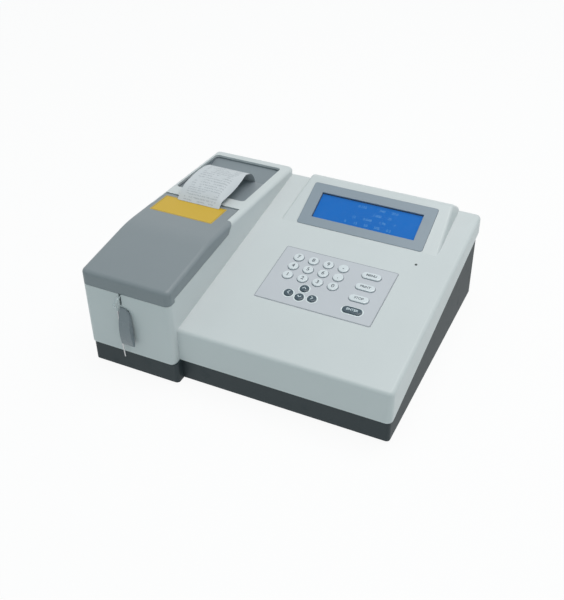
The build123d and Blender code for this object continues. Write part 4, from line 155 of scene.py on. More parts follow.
class Board:
    """The nodes of a new material, round its Principled shader, or of a new world."""

    def __init__(self, owner: Union[bpy.types.Material, bpy.types.World]) -> None:
        """Starts on the nodes of their owner."""
        owner.use_nodes = True
        self.owner = owner
        self.tree = owner.node_tree
        self.shader = self.tree.nodes.get("Principled BSDF")

    @classmethod
    def of_material(cls, name: str) -> "Board":
        """The board of a new material, whose name gets the prefix."""
        return cls(bpy.data.materials.new(LOOK_PREFIX + name))

    def node(
        self, kind: str, feeds: Optional[dict[Union[str, int], Feed]] = None, **settings: str
    ) -> bpy.types.Node:
        """Adds any node.

        Args:
            kind: The node's type.
            feeds: A value or a link for each named or numbered socket.
            settings: The node's own settings, set before its sockets.

        Returns:
            The new node.
        """
        made = self.tree.nodes.new(kind)
        for name, value in settings.items():
            setattr(made, name, value)
        for socket, value in (feeds or {}).items():
            self.feed(made.inputs[socket], value)
        return made

    def feed(self, socket: bpy.types.NodeSocket, value: Feed) -> None:
        """Links or sets one socket.

        Args:
            socket: The socket to feed.
            value: A wire, a socket, a number, a colour or a vector.
        """
        if isinstance(value, Wire):
            value = value.socket
        if isinstance(value, bpy.types.NodeSocket):
            self.tree.links.new(value, socket)
        elif isinstance(value, (int, float)):
            socket.default_value = value
        elif len(socket.default_value) == 4:
            socket.default_value = (*value[:3], 1.0)
        else:
            socket.default_value = tuple(value)

    def look(self, **feeds: Feed) -> None:
        """Feeds the Principled shader, its socket names written with underscores."""
        for name, value in feeds.items():
            self.feed(self.shader.inputs[name.replace("_", " ")], value)

    def position(self) -> bpy.types.NodeSocket:
        """The place on the piece, in metres, as a vector socket."""
        return self.node("ShaderNodeTexCoord").outputs["Object"]

    def axes(self, vector: bpy.types.NodeSocket) -> tuple[Wire, Wire, Wire]:
        """Splits a vector into its three numbers."""
        split = self.node("ShaderNodeSeparateXYZ", {0: vector})
        return tuple(Wire(self, output) for output in split.outputs)

    def noise(
        self, size: float, detail: float = 2.0, at: Optional[bpy.types.NodeSocket] = None
    ) -> Wire:
        """Soft noise.

        Args:
            size: The size of its largest lumps, in metres.
            detail: How many finer layers it has.
            at: Where it is read, or the place on the piece.

        Returns:
            The noise, about 0 to 1.
        """
        feeds = {"Vector": at or self.position(), "Scale": 1.0 / size, "Detail": detail}
        return Wire(self, self.node("ShaderNodeTexNoise", feeds).outputs["Fac"])

    def ramp(self, value: Wire, low: float, high: float) -> Wire:
        """Stretches the span from low to high over 0 to 1, smoothly."""
        feeds = {"Value": value, "From Min": low, "From Max": high}
        node = self.node("ShaderNodeMapRange", feeds, interpolation_type="SMOOTHSTEP")
        return Wire(self, node.outputs["Result"])

    def mix(self, share: Feed, first: Feed, second: Feed) -> bpy.types.NodeSocket:
        """Mixes two colours.

        Args:
            share: How much of the second colour, 0 to 1.
            first: The first colour.
            second: The second colour.

        Returns:
            The colour socket.
        """
        feeds = {0: share, 6: first, 7: second}
        return self.node("ShaderNodeMix", feeds, data_type="RGBA").outputs[2]

    def shade(self, share: Feed, colour: Colour, depth: float) -> bpy.types.NodeSocket:
        """A colour that gets darker by a share of itself.

        Args:
            share: How far it goes there, 0 to 1.
            colour: The colour.
            depth: The share of itself that it loses.

        Returns:
            The colour socket.
        """
        return self.mix(share, colour, tuple(channel * (1.0 - depth) for channel in colour))

    def relief(self, height: Wire, depth: float, strength: float = 1.0) -> None:
        """Presses a height pattern into the surface.

        Args:
            height: The pattern, about 0 to 1.
            depth: How deep a height of 1 is, in metres.
            strength: How strongly the light shows it.
        """
        feeds = {"Height": height, "Distance": depth, "Strength": strength}
        self.look(Normal=self.node("ShaderNodeBump", feeds).outputs["Normal"])

    def light(self, kind: str, colour: Colour, strength: float = 1.0) -> bpy.types.NodeSocket:
        """Adds a Background or Emission node, and returns its shader."""
        return self.node(kind, {"Color": colour, "Strength": strength}).outputs[0]

    def show(self, output: str, share: Wire, first: Feed, second: Feed) -> None:
        """Shows a mix of two shaders.

        Args:
            output: The name of the output node.
            share: How much of the second shader, 0 to 1.
            first: The first shader.
            second: The second shader.
        """
        node = self.node("ShaderNodeMixShader", {0: share, 1: first, 2: second})
        self.feed(self.tree.nodes[output].inputs["Surface"], node.outputs[0])


# Finishes


@dataclass(frozen=True)
class Surface(ABC):
    """A procedural finish. Each kind paints its own pattern, whose lengths are in metres."""

    name: str
    colour: Colour

    @abstractmethod
    def paint(self, board: Board) -> None:
        """Lays the pattern on a new board.

        Args:
            board: The board of the finish's material.
        """

    def material(self) -> bpy.types.Material:
        """Makes the material."""
        board = Board.of_material(self.name)
        self.paint(board)
        return board.owner


@dataclass(frozen=True)
class MouldedPlastic(Surface):
    """Injection-moulded plastic: a fine spark-eroded grain, faint clouds and handling marks."""

    roughness: float = 0.42
    grain_size: float = 0.7 * MM
    grain_depth: float = 0.02 * MM
    cloudiness: float = 0.05
    coat: float = 0.0
    cloud_size: float = 90 * MM
    cloud_share: float = 0.8
    mark_size: float = 14 * MM
    mark_levels: Span = (0.56, 0.74)
    grain_shine: float = 0.08
    mark_shine: float = 0.07

    def paint(self, board: Board) -> None:
        """Lays on the grain, the clouds and the marks."""
        grain = board.noise(self.grain_size, 3.0)
        clouds = board.noise(self.cloud_size, 4.0)
        marks = board.ramp(board.noise(self.mark_size, 6.0), *self.mark_levels)
        tone = clouds * self.cloud_share + grain * (1.0 - self.cloud_share)
        board.look(
            Base_Color=board.shade(tone, self.colour, 2 * self.cloudiness),
            Roughness=grain.around(self.roughness, self.grain_shine) + marks * self.mark_shine,
            Coat_Weight=self.coat,
            Coat_Roughness=0.12,
        )
        board.relief(grain, self.grain_depth, 0.6)


@dataclass(frozen=True)
class BrushedMetal(Surface):
    """Steel with a lengthwise brushed grain."""

    stretch: Point = (1.0, 12.0, 12.0)
    roughness: float = 0.3
    line_size: float = 3 * MM
    line_depth: float = 0.01 * MM
    stain_size: float = 22 * MM
    line_share: float = 0.6

    def paint(self, board: Board) -> None:
        """Lays on the brush lines and faint stains."""
        feeds = {0: board.position(), 1: self.stretch}
        drawn_out = board.node("ShaderNodeVectorMath", feeds, operation="MULTIPLY")
        lines = board.noise(self.line_size, 3.0, drawn_out.outputs[0])
        stains = board.noise(self.stain_size, 3.0)
        tone = lines * self.line_share + stains * (1.0 - self.line_share)
        board.look(
            Base_Color=board.shade(tone, self.colour, 0.25),
            Metallic=1.0,
            Roughness=lines.around(self.roughness, 0.2) + (stains - 0.5) * 0.1,
        )
        board.relief(lines, self.line_depth, 0.5)


@dataclass(frozen=True)
class BlastedAlloy(Surface):
    """Anodised aluminium with a fine bead-blasted skin."""

    bead_size: float = 0.35 * MM
    bead_depth: float = 0.015 * MM
    cloud_size: float = 40 * MM

    def paint(self, board: Board) -> None:
        """Lays on the beads' dents and faint clouds."""
        beads = board.noise(self.bead_size, 2.0)
        clouds = board.noise(self.cloud_size, 3.0)
        board.look(
            Base_Color=board.shade(clouds, self.colour, 0.15),
            Metallic=0.85,
            Roughness=beads.around(0.42, 0.15),
        )
        board.relief(beads, self.bead_depth, 0.6)


@dataclass(frozen=True)
class SoftRubber(Surface):
    """Black rubber, a little dusty."""

    dust_colour: Colour = srgb(110, 108, 104)
    dust_size: float = 5 * MM
    dust_levels: Span = (0.5, 0.8)
    skin_size: float = 0.5 * MM
    skin_depth: float = 0.03 * MM

    def paint(self, board: Board) -> None:
        """Lays on the skin and its dust."""
        skin = board.noise(self.skin_size, 3.0)
        dust = board.ramp(board.noise(self.dust_size, 5.0), *self.dust_levels)
        board.look(
            Base_Color=board.mix(dust * 0.35, self.colour, self.dust_colour),
            Roughness=0.78 + dust * 0.12,
        )
        board.relief(skin, self.skin_depth, 0.7)


@dataclass(frozen=True)
class ClearPlastic(Surface):
    """Clear tubing or glass: mostly see-through, with a glossy skin."""

    opacity: float
    roughness: float = 0.08
    specular: float = 0.5
    haze_size: float = 6 * MM
    haze_swing: float = 0.06

    def paint(self, board: Board) -> None:
        """Lays on a faint haze."""
        haze = board.noise(self.haze_size, 3.0)
        board.look(
            Base_Color=board.shade(haze, self.colour, 0.1),
            Roughness=self.roughness + haze * self.haze_swing,
            Alpha=haze.around(self.opacity, self.haze_swing),
            IOR=1.45,
            Specular_IOR_Level=self.specular,
        )


@dataclass(frozen=True)
class LitDisplay(Surface):
    """The blue field of a backlit dot display, with its fine grid of dots."""

    deep_colour: Colour
    pitch: float = 0.53 * MM
    gap_share: float = 0.12
    glow: float = 0.4
    backlight_size: float = 70 * MM

    def paint(self, board: Board) -> None:
        """Lays on the dots' grid and the uneven light behind them."""
        across, along, _ = board.axes(board.position())
        gap = self.pitch * self.gap_share
        lines = ((across % self.pitch) < gap) + ((along % self.pitch) < gap)
        backlight = board.noise(self.backlight_size, 2.0)
        shade = board.mix(backlight * 0.5, self.colour, self.deep_colour)
        board.look(
            Base_Color=board.mix(lines.clamped() * 0.35, shade, self.deep_colour),
            Roughness=0.6,
            Specular_IOR_Level=0.1,
            Emission_Color=shade,
            Emission_Strength=self.glow,
        )


@dataclass(frozen=True)
class CircuitBoard(Surface):
    """Green board with faint copper tracks under the lacquer."""

    copper_colour: Colour = srgb(96, 140, 60)
    pitch: float = 2.5 * MM
    track_width: float = 0.9 * MM
    crossing_width: float = 0.7 * MM
    copper_depth: float = 0.03 * MM

    def paint(self, board: Board) -> None:
        """Lays on two sets of swaying tracks."""
        across, along, _ = board.axes(board.position())
        sway = board.noise(16 * MM, 1.0)
        track = ((across + sway * 10 * MM) % self.pitch) < self.track_width
        crossing = ((along + sway * 8 * MM) % self.pitch) < self.crossing_width
        copper = track * (board.noise(9 * MM) > 0.48) + crossing * (board.noise(12 * MM) > 0.56)
        copper = copper.clamped()
        board.look(
            Base_Color=board.mix(copper * 0.5, self.colour, self.copper_colour),
            Roughness=0.32 - copper * 0.06,
        )
        board.relief(copper, self.copper_depth, 0.5)


@dataclass(frozen=True)
class ThermalPaper(Surface):
    """Thin coated paper. On the strip, rows of short grey marks run across it."""

    printed: bool = False
    ink_colour: Colour = srgb(110, 116, 125)
    margin: float = 7 * MM
    row_pitch: float = 3.4 * MM
    width: float = 58 * MM
    mark_size: float = 1.5 * MM
    word_size: float = 9 * MM

    def paint(self, board: Board) -> None:
        """Lays on the fibres, and the print where the piece's UV map says it goes."""
        fibre = board.noise(0.9 * MM, 4.0)
        curl = board.noise(30 * MM, 2.0)
        colour = board.shade(fibre * 0.5 + curl * 0.5, self.colour, 0.12)
        if self.printed:
            colour = board.mix(self.ink(board) * 0.34, colour, self.ink_colour)
        board.look(Base_Color=colour, Roughness=0.62 + fibre * 0.12)
        board.relief(fibre, 0.01 * MM, 0.5)

    def ink(self, board: Board) -> Wire:
        """Where the print is, from a UV map in metres across and along the strip."""
        chart = board.node("ShaderNodeTexCoord").outputs["UV"]
        across, along, _ = board.axes(chart)
        row = (along % self.row_pitch) < self.row_pitch * 0.5
        marks = board.noise(self.mark_size, 1.0, chart) > 0.46
        words = board.noise(self.word_size, 0.0, chart) > 0.42
        inside = (across > self.margin) * (across < self.width - self.margin)
        return row * marks * words * inside


@dataclass(frozen=True)
class InkAndShadeFilm(Surface):
    """A thin film, a little uneven at its edges: screen-printed ink, and the painted shade in the
    keypad's gaps.
    """

    roughness: float = 0.5
    film_size: float = 0.4 * MM
    film_depth: float = 0.008 * MM

    def paint(self, board: Board) -> None:
        """Lays on the uneven film."""
        film = board.noise(self.film_size, 3.0)
        board.look(
            Base_Color=board.shade(film, self.colour, 0.15),
            Roughness=film.around(self.roughness, 0.15),
        )
        board.relief(film, self.film_depth, 0.4)


class Finish(Enum):
    """Every finish on the analyzer."""

    SHELL = MouldedPlastic("shell_white", srgb(214, 217, 218), 0.4)
    BASE = MouldedPlastic("base_dark", srgb(32, 47, 52), 0.6, 1.0 * MM, 0.04 * MM, 0.1)
    LID = MouldedPlastic("lid_grey", srgb(136, 143, 148), 0.38, 0.6 * MM, 0.012 * MM)
    PADDLE = MouldedPlastic("paddle_grey", srgb(135, 142, 148), 0.26, 0.5 * MM, 0.008 * MM)
    BEZEL = MouldedPlastic("bezel_grey", srgb(143, 154, 165), 0.4)
    PANEL = MouldedPlastic("panel_grey", srgb(203, 204, 210), 0.42, 0.4 * MM, 0.01 * MM)
    KEY_PALE = MouldedPlastic("key_pale", srgb(224, 228, 232), 0.28, 0.4 * MM, 0.008 * MM, coat=0.3)
    KEY_DARK = MouldedPlastic("key_dark", srgb(40, 68, 82), 0.28, 0.4 * MM, 0.008 * MM, coat=0.3)
    TRAY = MouldedPlastic("tray_grey", srgb(136, 144, 150), 0.45)
    BLACK = MouldedPlastic("black_plastic", srgb(34, 35, 37), 0.42)
    ROLLER = MouldedPlastic("roller_white", srgb(222, 220, 212), 0.35)
    LAMP = MouldedPlastic("lamp_dark", srgb(50, 62, 60), 0.15, coat=0.6)
    STEEL = BrushedMetal("steel", srgb(200, 202, 204))
    PLATED = BrushedMetal("plated_steel", srgb(186, 188, 186), (12.0, 12.0, 1.0), 0.34)
    ALLOY = BlastedAlloy("alloy", srgb(196, 199, 202))
    RUBBER = SoftRubber("rubber", srgb(30, 30, 31))
    TUBING = ClearPlastic("clear_tubing", srgb(222, 228, 230), 0.62, 0.1)
    PANE = ClearPlastic("display_pane", srgb(170, 200, 235), 0.05, 0.12, 0.08)
    DISPLAY = LitDisplay("display_blue", srgb(0, 94, 172), srgb(0, 78, 152))
    CIRCUIT = CircuitBoard("circuit_green", srgb(28, 82, 48))
    PAPER = ThermalPaper("paper", srgb(222, 226, 228))
    PRINTOUT = ThermalPaper("printed_paper", srgb(214, 215, 219), True)
    LABEL = InkAndShadeFilm("label_yellow", srgb(216, 174, 38), 0.45)
    LABEL_EDGE = InkAndShadeFilm("label_border", srgb(150, 116, 30), 0.4)
    INK_DARK = InkAndShadeFilm("ink_dark", srgb(84, 90, 98))
    # Painted shade: the grey of the lines round the keypad panel and its pale keys, for the shadow
    # in the gaps there
    INK_GREY = InkAndShadeFilm("painted_gap_shade", srgb(128, 134, 142))
    INK_PALE = InkAndShadeFilm("ink_pale", srgb(214, 224, 230))
    INK_WHITE = InkAndShadeFilm("ink_white", srgb(240, 246, 248))
    DOTS = InkAndShadeFilm("display_dots", srgb(70, 150, 214), 0.4)

    def material(self) -> bpy.types.Material:
        """The finish's material, made once."""
        return bpy.data.materials.get(LOOK_PREFIX + self.value.name) or self.value.material()


# Modelling. Lengths are in millimetres from here on, other than in the studio


@dataclass(frozen=True)
class Slope:
    """A flat slope of the housing's top. Its two ends are given by depth and height."""

    near: Span
    far: Span

    @property
    def tilt(self) -> float:
        """How steeply it rises to the back, in radians."""
        return math.atan2(self.far[1] - self.near[1], self.far[0] - self.near[0])

    def height(self, y: float) -> float:
        """Its height at depth y."""
        share = (y - self.near[0]) / (self.far[0] - self.near[0])
        return self.near[1] + share * (self.far[1] - self.near[1])

    def face(self, x: float, y: float) -> Matrix:
        """A place on it, its local X to the right, its Y up the slope and its Z out of it."""
        turn = Matrix.Rotation(self.tilt, 4, "X")
        return Matrix.Translation(place(x, y, self.height(y))) @ turn


HUMP_FRONT = 226.0
DESK = Slope((10.7, 70.0), (320.0, 112.4))
TOWER = Slope((95.0, 136.0), (320.0, 121.0))
HUMP = Slope((HUMP_FRONT, DESK.height(HUMP_FRONT)), (298.0, 130.0))


def select(*objects: bpy.types.Object) -> None:
    """Selects only these objects, the last of them active, so that an operator acts on them."""
    bpy.ops.object.select_all(action="DESELECT")
    for wanted in objects:
        wanted.select_set(True)
        bpy.context.view_layer.objects.active = wanted


def added(operator: Callable[..., set[str]], **settings: object) -> bpy.types.Object:
    """Adds an object with nothing else selected.

    Args:
        operator: The operator that adds it.
        settings: The operator's settings.

    Returns:
        The new object, selected and active.
    """
    select()
    operator(**settings)
    return bpy.context.object


def apply_place() -> None:
    """Applies the selected piece's location, rotation and scale to its mesh."""
    bpy.ops.object.transform_apply(location=True, rotation=True, scale=True)


@dataclass
class Piece:
    """A mesh while it is modelled, by Blender's own operators, round its place's origin.

    The bottom of a piece is the height of its underside over that place.
    """

    made: bpy.types.Object
    corner_segments: int = 6
    round_segments: int = 48
    # Edges flatter than this, in degrees, are shaded smooth
    smooth_angle: float = 35.0
    # How far a flat piece's face must point up or down, as its normal's Z
    flat: float = 0.9
    # By how much two heights, or two places across, may differ and count as one
    slack: float = 0.01

    @classmethod
    def plate(
        cls, width: float, height: float, thickness: float, corner: float, bottom: float = 0.0
    ) -> "Piece":
        """A flat plate with rounded corners.

        Args:
            width: Its size along X.
            height: Its size along Y.
            thickness: Its thickness.
            corner: The radius of its corners.
            bottom: Its bottom.

        Returns:
            The plate.
        """
        middle = (0, 0, (bottom + thickness / 2) * MM)
        size = (width * MM, height * MM, thickness * MM)
        plate = cls(added(bpy.ops.mesh.primitive_cube_add, size=1.0, location=middle, scale=size))
        apply_place()
        heights = [vertex.co.z for vertex in plate.made.data.vertices]
        plate.pick("EDGE", lambda edge: heights[edge.vertices[0]] != heights[edge.vertices[1]])
        bpy.ops.mesh.bevel(offset=corner * MM, segments=cls.corner_segments, affect="EDGES")
        bpy.ops.object.mode_set(mode="OBJECT")
        return plate

    @classmethod
    def stadium(cls, length: float, radius: float, depth: float, bottom: float) -> "Piece":
        """A disc, or a disc drawn out along X.

        Args:
            length: The straight run between its round ends.
            radius: The radius of its ends.
            depth: Its height.
            bottom: Its bottom.

        Returns:
            The disc.
        """
        made = added(
            bpy.ops.mesh.primitive_cylinder_add,
            vertices=cls.round_segments,
            radius=radius * MM,
            depth=depth * MM,
            location=(0, 0, (bottom + depth / 2) * MM),
        )
        apply_place()
        if length > 0:
            for vertex in made.data.vertices:
                vertex.co.x += math.copysign(length / 2 * MM, vertex.co.x + cls.slack * MM)
        return cls(made)

    @classmethod
    def chevron(cls, reach: float, stroke: float, thickness: float, bottom: float) -> "Piece":
        """A chevron that points along X.

        Args:
            reach: Half its height.
            stroke: The width of its stroke.
            thickness: Its thickness.
            bottom: Its bottom.

        Returns:
            The chevron.
        """
        arms = []
        # Just under half the stroke, so that an arm's end keeps a short straight edge
        corner = stroke / 2.1
        for side in (-1.0, 1.0):
            arm = cls.plate(reach * math.sqrt(2.0), stroke, thickness, corner, bottom)
            arm.made.rotation_euler.z = side * math.radians(45)
            arm.move(0, -side * (reach - stroke / 2) / 2)
            select(arm.made)
            apply_place()
            arms.append(arm)
        return cls.joined(arms)

    @classmethod
    def text(
        cls, words: str, size: float, half_thickness: float, height: float, weight: float = 0.0
    ) -> "Piece":
        """Raised characters.

        Args:
            words: The characters.
            size: Their size.
            half_thickness: Half their thickness.
            height: The height of their middle over their place.
            weight: How much thicker their strokes are drawn.

        Returns:
            The characters as a mesh.
        """
        letters = added(bpy.ops.object.text_add, location=(0, 0, height * MM)).data
        letters.body = words
        letters.size = size * MM
        letters.extrude = half_thickness * MM
        letters.offset = weight * MM
        letters.align_x = letters.align_y = "CENTER"
        bpy.ops.object.convert(target="MESH")
        apply_place()
        return cls(bpy.context.object)

    @classmethod
    def joined(cls, pieces: Sequence["Piece"]) -> "Piece":
        """Joins pieces into the first of them."""
        select(*(piece.made for piece in reversed(pieces)))
        bpy.ops.object.join()
        return cls(bpy.context.object)

    def move(self, x: float, y: float) -> None:
        """Sets the piece aside from its place's origin."""
        self.made.location = (x * MM, y * MM, 0)

    def pick(self, kind: str, wanted: Callable[[bpy.types.bpy_struct], bool]) -> None:
        """Opens the piece in edit mode with only some of its faces or edges selected.

        Args:
            kind: FACE or EDGE.
            wanted: Says whether a face or an edge is selected.
        """
        select(self.made)
        bpy.ops.object.mode_set(mode="EDIT")
        bpy.ops.mesh.select_mode(type=kind)
        bpy.ops.mesh.select_all(action="DESELECT")
        bpy.ops.object.mode_set(mode="OBJECT")
        mesh = self.made.data
        for part in mesh.polygons if kind == "FACE" else mesh.edges:
            part.select = wanted(part)
        bpy.ops.object.mode_set(mode="EDIT")

    def dome(self, steps: Sequence[Span]) -> None:
        """Raises the top face into a dome.

        Args:
            steps: For each step, how far in it goes and how far up.
        """
        top = max(polygon.center.z for polygon in self.made.data.polygons) - self.slack * MM
        self.pick("FACE", lambda face: face.normal.z > self.flat and face.center.z > top)
        for run, rise in steps:
            bpy.ops.mesh.inset(thickness=run * MM)
            bpy.ops.transform.translate(value=(0, 0, rise * MM))
        bpy.ops.object.mode_set(mode="OBJECT")

    def hollow(self, wall: float) -> None:
        """Opens the middle of a flat piece, and leaves a wall round it."""
        self.pick("FACE", lambda face: abs(face.normal.z) > self.flat)
        bpy.ops.mesh.inset(thickness=wall * MM)
        bpy.ops.mesh.bridge_edge_loops()
        bpy.ops.object.mode_set(mode="OBJECT")

    def thicken(self, thickness: float) -> None:
        """Smooths a sheet once and gives it its thickness."""
        select(self.made)
        smooth = self.made.modifiers.new("smooth", "SUBSURF")
        smooth.levels = smooth.render_levels = 1
        wall = self.made.modifiers.new("wall", "SOLIDIFY")
        wall.thickness = thickness * MM
        wall.offset = 0.0
        for modifier in ("smooth", "wall"):
            bpy.ops.object.modifier_apply(modifier=modifier)

    def finish(self, name: str, finish: Finish) -> None:
        """Shades, names and dresses the piece, which is in its place.

        Args:
            name: Its name.
            finish: Its finish.
        """
        select(self.made)
        bpy.ops.object.shade_smooth_by_angle(angle=math.radians(self.smooth_angle))
        self.made.name = self.made.data.name = name
        self.made.data.materials.clear()
        self.made.data.materials.append(finish.material())
        LOG.info("made %s, %d faces", name, len(self.made.data.polygons))

    def settle(self, name: str, finish: Finish, where: Matrix, body: str = "root") -> None:
        """Puts the modelled piece in its place, applies that place, and hands it to its body.

        Args:
            name: Its name.
            finish: Its finish.
            where: Its place in the frame.
            body: The CAD body it moves with.
        """
        select(self.made)
        self.made.matrix_world = where @ self.made.matrix_world
        apply_place()
        self.finish(name, finish)
        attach(self.made, body)


def dress(node: str, finish: Finish) -> None:
    """Gives a CAD node a finish."""
    slots = bpy.data.objects[node].data.materials
    slots.clear()
    slots.append(finish.material())


# Sub-assemblies


Dressing = tuple[tuple[str, Finish], ...]


@dataclass
class Assembly:
    """A sub-assembly: the CAD nodes that it dresses, and the pieces that it adds to them."""

    dressing: Dressing = ()

    def build(self) -> None:
        """Dresses the nodes and adds the pieces."""
        for node, finish in self.dressing:
            dress(node, finish)
        self.add()

    def add(self) -> None:
        """Adds the pieces that the CAD doesn't have. Some sub-assemblies have none."""


@dataclass
class Housing(Assembly):
    """The white shell, the dark base it stands on, and what fastens them."""

    dressing: Dressing = (
        ("upper_shell", Finish.SHELL),
        ("base_pan", Finish.BASE),
        ("rubber_feet", Finish.RUBBER),
        ("housing_screws", Finish.PLATED),
        ("hinge_pins", Finish.STEEL),
        ("status_lamp", Finish.LAMP),
    )


@dataclass
class SampleLid(Assembly):
    """The hinged cover over the sample bay, with a bare yellow label on its tail."""

    dressing: Dressing = (("sample_lid", Finish.LID),)
    label_x: Span = (9.0, 93.5)
    label_y: Span = (133.0, 172.5)
    label_thickness: float = 0.12
    label_corner: float = 1.2
    border_inset: float = 1.0
    border_width: float = 0.5
    border_thickness: float = 0.03

    def add(self) -> None:
        """Adds the label and the thin border printed on it."""
        where = TOWER.face(sum(self.label_x) / 2, sum(self.label_y) / 2)
        width = self.label_x[1] - self.label_x[0]
        height = self.label_y[1] - self.label_y[0]
        label = Piece.plate(width, height, self.label_thickness, self.label_corner)
        label.settle("label", Finish.LABEL, where, "lid")
        inset = 2 * self.border_inset
        shape = (self.border_thickness, self.label_corner, self.label_thickness)
        border = Piece.plate(width - inset, height - inset, *shape)
        border.hollow(self.border_width)
        border.settle("label_border", Finish.LABEL_EDGE, where, "lid")


@dataclass
class Aspirator(Assembly):
    """The paddle that starts a draw, the steel probe and its clear tube."""

    dressing: Dressing = (
        ("aspirate_key", Finish.PADDLE),
        ("sample_probe", Finish.STEEL),
        ("aspirate_switch", Finish.BLACK),
        ("sample_tube", Finish.TUBING),
    )


@dataclass(frozen=True)
class KeyLooks:
    """A key's finish, the finish of the ring round it, the ink of the mark on it, and the ring's
    width. A pale key's ring is painted shade of the gap round it; a dark key's ring is a printed
    halo.
    """

    cap: Finish
    ring: Finish
    mark: Finish
    ring_width: float


class KeyStyle(Enum):
    """How a key looks."""

    # A pale key's grey ring is painted shade, for the shadow in the gap round the key; a dark key's
    # white ring is a printed halo
    PALE = KeyLooks(Finish.KEY_PALE, Finish.INK_GREY, Finish.INK_DARK, 0.6)
    DARK = KeyLooks(Finish.KEY_DARK, Finish.INK_WHITE, Finish.INK_PALE, 1.5)


@dataclass(frozen=True)
class Key:
    """One key of the pad, named as its node is after key_.

    Its place counts from the keypad's centre, to the right and, in the plan, to the back. A key
    with a turn shows a chevron turned that many degrees in place of its mark.
    """

    name: str
    mark: str
    x: float
    y: float
    radius: float
    length: float = 0.0
    style: KeyStyle = KeyStyle.PALE
    turn: Optional[float] = None
    mark_size: float = 7.6


@dataclass
class Keypad(Assembly):
    """The grey inlay on the desk, with its twenty marked keys, printed halos round the dark keys,
    and painted shade in the gaps round the panel and the pale keys.
    """

    dressing: Dressing = (("keypad_panel", Finish.PANEL), ("keypad_board", Finish.CIRCUIT))
    centre: Span = (239.8, 136.9)
    panel_size: Span = (142.0, 92.5)
    panel_top: float = 0.4
    # The grey line round the panel is painted shade, for the shadow in the gap round it
    outline_inset: float = 0.3
    outline_width: float = 0.45
    outline_corner: float = 1.8
    digit_rows: tuple[str, ...] = ("789-", "456.", "1230")
    digit_start: Span = (-48.8, 30.4)
    digit_pitch: Span = (19.0, 16.0)
    digit_radius: float = 6.2
    arrows: tuple[tuple[str, float, float, float], ...] = (
        ("left", -35.2, -28.3, 180.0),
        ("up", -20.6, -16.1, 90.0),
        ("down", -20.6, -30.7, -90.0),
        ("right", -6.0, -28.3, 0.0),
    )
    arrow_radius: float = 5.4
    arrow_reach: float = 2.6
    arrow_stroke: float = 1.0
    words: tuple[str, ...] = ("MENU", "PRINT", "STOP", "ENTER")
    dark_word: str = "ENTER"
    oval_start: Span = (43.6, 29.3)
    oval_pitch: float = 19.7
    oval_radius: float = 5.0
    oval_length: float = 13.5
    word_size: float = 4.7
    key_top: float = 1.9
    crown_inset: float = 0.45
    crown_steps: tuple[Span, ...] = ((0.45, 0.13), (0.6, 0.09), (0.8, 0.05))
    crown_sink: float = 0.3
    crown_depth: float = 0.36
    crown_smooth_angle: float = 60.0
    ring_gap: float = 0.12
    print_and_shade_thickness: float = 0.04
    stroke_weight: float = 0.12

    def keys(self) -> list[Key]:
        """Every key, in the order that the pad is read."""
        sign_names = {"-": "minus", ".": "point"}
        left, back = self.digit_start
        across, down = self.digit_pitch
        keys = []
        for row, marks in enumerate(self.digit_rows):
            for column, mark in enumerate(marks):
                x, y = left + across * column, back - down * row
                keys.append(Key(sign_names.get(mark, mark), mark, x, y, self.digit_radius))
        for name, x, y, turn in self.arrows:
            keys.append(Key(name, "", x, y, self.arrow_radius, style=KeyStyle.DARK, turn=turn))
        x, back = self.oval_start
        for row, word in enumerate(self.words):
            style = KeyStyle.DARK if word == self.dark_word else KeyStyle.PALE
            y = back - self.oval_pitch * row
            oval = (self.oval_radius, self.oval_length, style, None, self.word_size)
            keys.append(Key(word.lower(), word, x, y, *oval))
        return keys

    def add(self) -> None:
        """Adds the painted shade round the panel, and finishes each key."""
        self.paint_gap_shade()
        for key in self.keys():
            self.finish_key(key)

    def paint_gap_shade(self) -> None:
        """Painted shade: a dark grey line round the panel, for the shadow in the gap round it."""
        width, height = (size - 2 * self.outline_inset for size in self.panel_size)
        line = Piece.plate(width, height, self.print_and_shade_thickness, self.outline_corner, self.panel_top)
        line.hollow(self.outline_width)
        line.settle("panel_gap_shade", Finish.INK_GREY, DESK.face(*self.centre))

    def finish_key(self, key: Key) -> None:
        """Dresses a key, and adds its domed crown, the ring round it and its mark. Round a pale key
        the ring is painted shade of the gap; round a dark key it is a printed halo.
        """
        style = key.style.value
        name = "key_" + key.name
        cap = name + "_cap"
        where = DESK.face(self.centre[0] + key.x, self.centre[1] + key.y)
        dress(name, style.cap)
        bottom = self.key_top - self.crown_sink
        crown = Piece.stadium(key.length, key.radius - self.crown_inset, self.crown_depth, bottom)
        crown.dome(self.crown_steps)
        crown.smooth_angle = self.crown_smooth_angle
        crown.settle(name + "_crown", style.cap, where, cap)
        # The ring: painted shade of the gap round a pale key, a printed halo round a dark key
        radius = key.radius + self.ring_gap + style.ring_width
        ring = Piece.stadium(key.length, radius, self.print_and_shade_thickness, self.panel_top)
        ring.hollow(style.ring_width)
        ring.settle(name + "_ring", style.ring, where)
        top = bottom + self.crown_depth + sum(rise for _, rise in self.crown_steps)
        if key.turn is None:
            half = self.print_and_shade_thickness / 2
            mark = Piece.text(key.mark, key.mark_size, half, top, self.stroke_weight)
        else:
            mark = Piece.chevron(self.arrow_reach, self.arrow_stroke, self.print_and_shade_thickness, top)
            where = where @ Matrix.Rotation(math.radians(key.turn), 4, "Z")
        mark.settle(name + "_mark", style.mark, where, cap)


